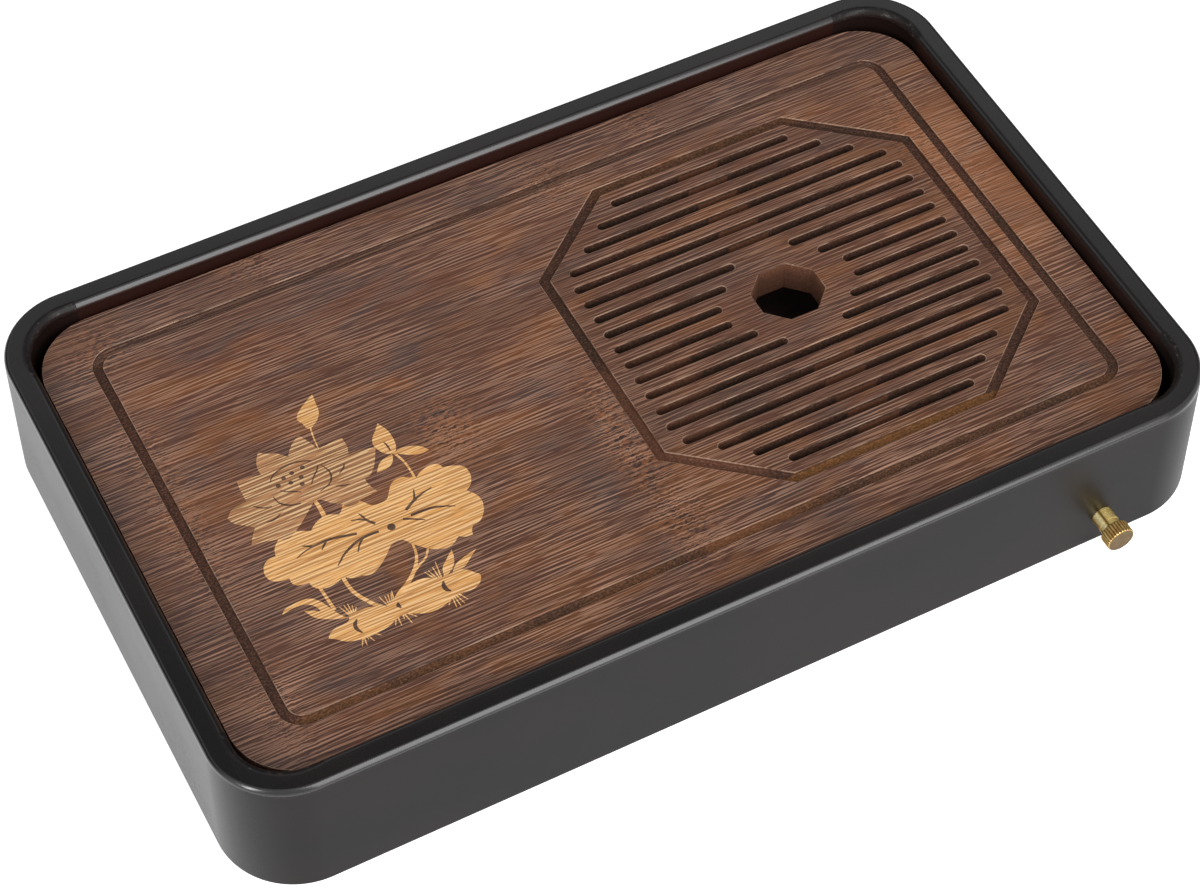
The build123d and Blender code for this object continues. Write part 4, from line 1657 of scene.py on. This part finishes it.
@dataclass
class LotusInlay:
    """The traditional lotus set into the board's left part.

    Its knots are places on a chart, x to the right and y down, in chart units. A star
    behind a knot makes it a sharp one.
    """

    unit: float = 0.0915 * MM
    left: float = -157.38 * MM
    rear: float = 43.92 * MM
    face: float = 54.0 * MM
    root_depth: float = 0.12 * MM
    gold: PaleInlay = PaleInlay("inlay_leaf", srgb(234, 178, 112), srgb(214, 154, 86),
                                srgb(150, 98, 56))
    amber: PaleInlay = PaleInlay("inlay_bloom", srgb(192, 140, 96), srgb(156, 106, 69),
                                 srgb(92, 62, 44))
    bark: PaleInlay = PaleInlay("inlay_lines", srgb(94, 66, 50), srgb(78, 55, 44),
                                srgb(52, 38, 32), srgb(128, 94, 70))
    boldness: float = 1.9
    step: float = 0.003 * MM
    bloom_proud: float = 0.075 * MM
    cut_proud: float = 0.09 * MM
    hair: tuple[float, float, float] = (7, 6, 3)
    seed_radius: float = 9.5
    heart_radius: float = 16.0
    curve_steps: int = 5

    BLOOM = (
        "105,487* 135,455 175,446 203,443* 202,395 207,338* 255,343 303,351* 304,315 315,280 "
        "336,246* 365,268 400,285 432,320* 452,290 480,262 512,243* 524,268 540,305 549,338* "
        "600,334 630,330 656,332* 657,375 647,417* 700,420 753,434* 735,470 705,520 675,548 "
        "651,556* 656,595 671,632* 640,633 590,640* 575,650 530,640 525,625* 490,600 462,570 "
        "447,562* 437,565 428,568* 395,595 355,630 310,662* 275,680 240,668* 195,652 137,643* "
        "155,610 183,572* 150,545 120,520"
    )
    BUD = (
        "643,78* 610,98 565,130 545,150 538,172 548,195 555,225 568,233* 585,222 612,200 "
        "630,170 636,130"
    )
    SPRIG = (
        "810,330* 785,360 760,390 750,420 757,450 775,480 798,492* 815,485 828,460 833,425 "
        "830,380",
        "805,490* 840,484 880,492 910,510 933,540* 900,543 860,530 825,508",
        "797,493* 765,498 735,512 706,548* 740,550 770,540 790,515",
    )
    LEAVES = (
        "240,665* 218,685 205,705 198,732* 170,733 145,748 130,775 127,805 140,832 165,845 "
        "202,850* 201,870 208,888 225,897 260,903* 264,925 282,945 315,956 350,952 375,944 "
        "395,945* 410,958 440,965 450,964* 468,973 490,975 515,965 545,945 580,915 605,890 "
        "630,880 655,884 670,900 680,920* 690,928 705,945 725,965 755,985 790,996 820,992 "
        "845,975 855,968* 875,982 906,986* 915,960 925,948* 955,942 985,915 1003,880 1007,845 "
        "997,815 975,786* 1000,770 1018,740 1024,705 1015,675 995,660 965,648 943,643* 935,622 "
        "905,611 870,618 845,630 832,640* 825,632 805,628 790,616 755,612 730,625 712,648 "
        "700,665 685,682 650,688 620,680 605,660 590,640* 560,630 530,625 505,655 492,665* "
        "470,652 445,645 425,648 400,658 380,672 366,686* 340,673 310,660* 275,655"
    )
    SHOOTS = (
        "110,992* 125,975 160,966 200,963 235,972 258,995 272,1020 285,1050 310,1100 330,1120* "
        "290,1105 250,1085 215,1060 190,1012* 225,1030 245,1043* 240,1020 210,990 170,983 "
        "140,985",
        "715,1122* 725,1105 735,1075 765,1045 803,1012* 795,1050 775,1085 745,1108 725,1124*",
        "745,1126* 760,1110 790,1080 830,1065 887,1052* 850,1080 815,1105 780,1115 760,1126*",
    )
    ROOT = (
        "220,1168* 235,1150 260,1138 300,1135 320,1130 335,1108 375,1105 410,1108 440,1120 "
        "470,1138* 490,1130 520,1110 550,1090 600,1082 645,1083 670,1092 690,1105 720,1112 "
        "770,1110 800,1115 820,1130 835,1150 848,1165 840,1190 815,1210 785,1215 750,1210 "
        "720,1212 690,1225 640,1237 590,1232 555,1215 520,1200 480,1205 450,1220 400,1228 "
        "340,1228 295,1220 265,1205 245,1185"
    )
    STEMS = (
        Stroke("437,560 440,600 438,655", (15, 17, 20)),
        Stroke("568,228 560,270 553,340", (7, 6, 5)),
        Stroke("803,485 820,540 825,580 826,640", (10, 9, 9)),
        Stroke("286,940 290,1000 294,1062", (12, 13, 14)),
        Stroke("383,938 385,985 395,1030 415,1070 440,1110 468,1140", (15, 16, 16)),
        Stroke("683,918 676,965 655,1010 625,1045 590,1075 538,1108", (8, 15, 20)),
        Stroke("728,962 700,1000 665,1020 628,1044", (8, 9, 10)),
    )
    HAIRS = (
        "335,1112 315,1057", "340,1108 333,1057", "346,1108 348,1057", "352,1110 360,1072",
        "356,1110 371,1085", "480,1138 466,1083", "485,1134 487,1090", "492,1132 500,1088",
        "500,1128 512,1090", "510,1122 520,1078", "690,1108 667,1060", "697,1110 682,1060",
        "705,1112 703,1052", "712,1113 723,1035", "335,1224 317,1258", "340,1226 335,1262",
        "350,1226 352,1240", "357,1226 368,1257", "380,1224 403,1247", "480,1202 467,1230",
        "490,1202 487,1240", "512,1198 508,1220", "518,1198 527,1248", "532,1202 556,1232",
        "700,1215 683,1240", "710,1213 705,1260", "718,1211 722,1265", "727,1210 740,1258",
        "738,1209 758,1247",
    )
    BLOOM_LINES = (
        Stroke("320,402 340,378 370,364 400,358 435,357 470,364 503,379", (2, 4.5, 3)),
        Stroke("517,410 505,430 480,455 458,484", (2, 3.5, 2)),
        Stroke("528,415 538,435 545,462 538,492 522,512 500,522 475,530", (2, 4, 2)),
        Stroke("303,470 308,500 325,525 350,540 385,549", (2, 4.5, 3)),
        Stroke("338,455 355,470 385,485 408,500", (2, 3.5, 2)),
        Stroke("217,477 232,492 252,505 280,510", (2, 4, 2)),
        Stroke("232,573 262,572 295,558", (2, 4, 2)),
        Stroke("612,452 600,468 575,486", (2, 4, 2)),
        Stroke("538,535 560,545 590,550", (2, 4, 2)),
    )
    SEEDS = ("460,393", "412,399", "374,407", "341,431", "390,440", "437,433", "427,466")
    HEART = "645,811"
    VEINS = (
        Stroke("792,425 797,450 797,475", (2, 4, 3)),
        Stroke("515,778 480,770 440,760 400,755 365,756 335,758 300,765 265,779", (6, 6, 2)),
        Stroke("343,757 322,745 305,735", (5, 4, 2)),
        Stroke("395,757 380,772 365,787", (5, 4, 2)),
        Stroke("593,808 560,806 525,808 490,816 455,832 425,850 403,870 388,883", (6, 6, 2)),
        Stroke("525,809 503,830 483,860", (5, 4, 2)),
        Stroke("597,768 583,750 572,735 550,722 520,712", (6, 5, 2)),
        Stroke("574,737 568,715 560,695", (4, 4, 2)),
        Stroke("728,764 755,748 785,732 820,720 862,711", (6, 6, 2)),
        Stroke("778,735 788,712 797,688", (5, 4, 2)),
        Stroke("735,795 780,796 820,800 860,812 905,834", (6, 6, 2)),
        Stroke("700,797 735,815 775,840", (5, 4, 2)),
    )
    CRESCENTS = (
        Stroke("350,1138 335,1155 331,1175 343,1203", (3, 10, 3)),
        Stroke("519,1140 514,1152 519,1168", (3, 8, 3)),
        Stroke("712,1130 704,1150 706,1170 718,1185", (3, 11, 3)),
    )

    def read(self, knots: str) -> list[tuple[float, float, bool]]:
        """Turns a string of knots into places on the board.

        Args:
            knots: the knots, parted by blanks.

        Returns:
            X and Y in metres, and whether the knot is sharp.
        """
        places = []
        for knot in knots.split():
            across, down = (float(part) for part in knot.strip("*").split(","))
            at = (self.left + across * self.unit, self.rear - down * self.unit)
            places.append((*at, knot.endswith("*")))
        return places

    def slab(self, name: str, knots: Sequence[tuple[float, float, bool]],
             proud: float) -> bpy.types.Object:
        """Makes a thin flat piece with a curved outline.

        Args:
            name: its name.
            knots: its outline's knots: X, Y and whether they are sharp.
            proud: how far its face stands above the board's.

        Returns:
            The piece, as a mesh.
        """
        clear_bench()
        flat = bpy.data.curves.new(name, "CURVE")
        flat.dimensions = "2D"
        flat.fill_mode = "BOTH"
        flat.resolution_u = self.curve_steps
        flat.extrude = (proud + self.root_depth) / 2
        outline = flat.splines.new("BEZIER")
        outline.bezier_points.add(len(knots) - 1)
        outline.use_cyclic_u = True
        for point, (at_x, at_y, sharp) in zip(outline.bezier_points, knots):
            point.co = (at_x, at_y, 0.0)
            kind = "VECTOR" if sharp else "AUTO"
            point.handle_left_type = point.handle_right_type = kind
        piece = bpy.data.objects.new(name, flat)
        bpy.context.scene.collection.objects.link(piece)
        take(piece)
        bpy.ops.object.convert(target="MESH")
        piece = bpy.context.object
        piece.location.z = self.face + (proud - self.root_depth) / 2
        return freeze(piece)

    def line(self, name: str, stroke: Stroke, proud: float, bold: float = 1.0
             ) -> bpy.types.Object:
        """Makes a thin tapered line.

        Args:
            name: its name.
            stroke: its knots and widths.
            proud: how far its face stands above the board's.
            bold: what its widths are multiplied by.

        Returns:
            The line, as a mesh.
        """
        places = [Vector((at_x, at_y)) for at_x, at_y, _ in self.read(stroke.knots)]
        last = len(places) - 1
        first_width, mid_width, end_width = stroke.widths
        left, right = [], []
        for number, place in enumerate(places):
            run = places[min(number + 1, last)] - places[max(number - 1, 0)]
            across = Vector((-run.y, run.x)).normalized()
            share = 2 * number / last
            width = (first_width + (mid_width - first_width) * share if share < 1
                     else mid_width + (end_width - mid_width) * (share - 1))
            offset = across * width * bold * self.unit / 2
            left.append((*(place + offset), number in (0, last)))
            right.append((*(place - offset), number in (0, last)))
        return self.slab(name, left + right[::-1], proud)

    def disc(self, name: str, knot: str, radius: float, proud: float) -> bpy.types.Object:
        """Makes a thin round piece about a knot."""
        at_x, at_y, _ = self.read(knot)[0]
        reach = radius * self.unit
        knots = [(at_x + reach * math.cos(turn * math.pi / 4),
                  at_y + reach * math.sin(turn * math.pi / 4), False) for turn in range(8)]
        return self.slab(name, knots, proud)

    def build(self) -> None:
        """Builds the inlay and the lines cut into it, and dresses them."""
        step, high = self.step, self.cut_proud
        leaf, bloom, cut = self.gold.make(), self.amber.make(), self.bark.make()
        shapes = [*self.SHOOTS, *self.SPRIG, self.BUD, self.ROOT, self.LEAVES]
        lines = [Stroke(knots, self.hair) for knots in self.HAIRS] + list(self.STEMS)
        golden = [self.line(f"line_{number}", stroke, (number % 5 + 2) * step)
                  for number, stroke in enumerate(lines)]
        golden += [self.slab(f"shape_{number}", self.read(knots), (number + 8) * step)
                   for number, knots in enumerate(shapes)]
        leaves = join(golden, "inlay_leaves")
        finish_piece(leaves, Body.BOARD, "board_bamboo", leaf)
        petals = self.slab("inlay_bloom", self.read(self.BLOOM), self.bloom_proud)
        finish_piece(petals, Body.BOARD, "board_bamboo", bloom)
        drawn = [self.line(f"cut_{number}", stroke, high + number % 4 * step, self.boldness)
                 for number, stroke in enumerate([*self.BLOOM_LINES, *self.VEINS,
                                                  *self.CRESCENTS])]
        drawn += [self.disc(f"seed_{number}", knot, self.seed_radius, high)
                  for number, knot in enumerate(self.SEEDS)]
        drawn.append(self.disc("leaf_heart", self.HEART, self.heart_radius, high))
        lines = join(drawn, "inlay_lines")
        finish_piece(lines, Body.BOARD, "board_bamboo", cut)


@dataclass(frozen=True)
class FloorPaint(Finish):
    """Pale matte paint, which glows where the camera or a gloss looks at it."""

    name: str = "studio_floor"
    base: Colour = (0.8, 0.8, 0.8)
    seen_glow: float = 0.8
    mirrored_glow: float = 0.62

    def dress(self, graph: Graph) -> dict:
        """Adds the nodes, and gives the shader's sockets."""
        seen = graph.node("ShaderNodeLightPath", out="Is Camera Ray") * self.seen_glow
        mirrored = graph.node("ShaderNodeLightPath", out="Is Glossy Ray") * self.mirrored_glow
        glow = graph.mix(seen.most(mirrored), (0.0, 0.0, 0.0), (1.0, 1.0, 1.0))
        return {"Base Color": self.base, "Roughness": 0.9, "Specular IOR Level": 0.0,
                "Emission Color": glow, "Emission Strength": 1.0}


@dataclass(frozen=True)
class Lamp:
    """A soft rectangular lamp: its size, its radiance and its place."""

    name: str
    size: tuple[float, float]
    radiance: float
    place: Point
    target: Point = (0.0, 0.0, 0.05)

    def hang(self) -> bpy.types.Object:
        """Hangs the lamp, aimed at its target."""
        wide, high = self.size
        light = bpy.data.lights.new(self.name, "AREA")
        light.shape = "RECTANGLE"
        light.size, light.size_y = wide, high
        light.energy = self.radiance * math.pi * wide * high
        lamp = bpy.data.objects.new(self.name, light)
        bpy.context.scene.collection.objects.link(lamp)
        lamp.location = self.place
        aim = Vector(self.target) - Vector(self.place)
        lamp.rotation_euler = aim.to_track_quat("-Z", "Y").to_euler()
        return lamp


@dataclass
class Studio:
    """The camera, the pale floor, the lamps and the world."""

    eye: Point = (-0.32726, -0.63534, 0.93372)
    right: Point = (0.88771, -0.46039, -0.00282)
    up: Point = (0.36603, 0.70203, 0.61088)
    back: Point = (-0.27926, -0.54332, 0.79172)
    lens: float = 93.516
    sensor: float = 36.0
    far: float = 30.0
    floor_size: float = 8.0
    paint: FloorPaint = FloorPaint()
    softbox: Lamp = Lamp("softbox", (0.8, 2.2), 4.7, (0.3, -1.18, 0.94))
    side_lamp: Lamp = Lamp("side_lamp", (0.24, 1.0), 17.0, (-1.35, -0.6, 0.78),
                           (-0.17, -0.1, 0.05))
    room: float = 0.3
    dim: float = 0.1
    band: float = 0.7

    def camera(self) -> None:
        """Sets up the camera that the photo was taken with."""
        lens = bpy.data.cameras.new("photo_camera")
        lens.lens = self.lens
        lens.sensor_fit = "HORIZONTAL"
        lens.sensor_width = self.sensor
        lens.clip_end = self.far
        camera = bpy.data.objects.new("photo_camera", lens)
        bpy.context.scene.collection.objects.link(camera)
        turn = Matrix((self.right, self.up, self.back)).transposed().to_4x4()
        camera.matrix_world = Matrix.Translation(self.eye) @ turn
        bpy.context.scene.camera = camera

    def floor(self) -> bpy.types.Object:
        """Lays the pale floor, which looks white and still takes a shadow."""
        clear_bench()
        bpy.ops.mesh.primitive_plane_add(size=self.floor_size, location=(0.0, 0.0, 0.0))
        floor = claim("studio_floor")
        floor.data.materials.append(self.paint.make())
        return floor

    def world(self) -> None:
        """Surrounds the scene: white to the camera, darker above the rear in reflections."""
        world = bpy.data.worlds.new("studio_world")
        bpy.context.scene.world = world
        world.use_nodes = True
        tree = world.node_tree
        tree.nodes.clear()
        graph = Graph(tree)
        seen = graph.node("ShaderNodeLightPath", out="Is Camera Ray")
        mirrored = graph.node("ShaderNodeLightPath", out="Is Glossy Ray")
        way = graph.node("ShaderNodeTexCoord", out="Generated")
        split = graph.node("ShaderNodeSeparateXYZ", sockets={"Vector": way}).socket.node
        x, y, z = (Val(graph, socket) for socket in split.outputs)
        band = z.ease(0.8, 0.74) * z.ease(0.45, 0.6) * x.ease(0.65, 0.45)
        shade = y.ease(0.0, 0.35) * (1.0 - band * self.band)
        bright = 1.0 - shade * (1.0 - self.dim)
        level = mirrored * bright + (1.0 - mirrored) * self.room
        strength = seen + (1.0 - seen) * level
        background = tree.nodes.new("ShaderNodeBackground")
        background.inputs["Color"].default_value = (1.0, 1.0, 1.0, 1.0)
        output = tree.nodes.new("ShaderNodeOutputWorld")
        tree.links.new(strength.socket, background.inputs["Strength"])
        tree.links.new(background.outputs["Background"], output.inputs["Surface"])

    def build(self) -> None:
        """Sets the whole studio up."""
        self.camera()
        self.world()
        self.floor()
        self.softbox.hang()
        self.side_lamp.hang()
        bpy.context.scene.view_settings.view_transform = "Standard"
        log.info("studio: lens %.1f mm", self.lens)


def main() -> None:
    """Builds and dresses everything."""
    logging.basicConfig(level=logging.INFO, format="%(name)s: %(message)s")
    for part in (TrayFrame(), Basin(), Feet(), DrainNozzle(), ScrewCap(), TeaBoard(),
                 LotusInlay(), Studio()):
        part.build()


if __name__ == "__main__":
    main()
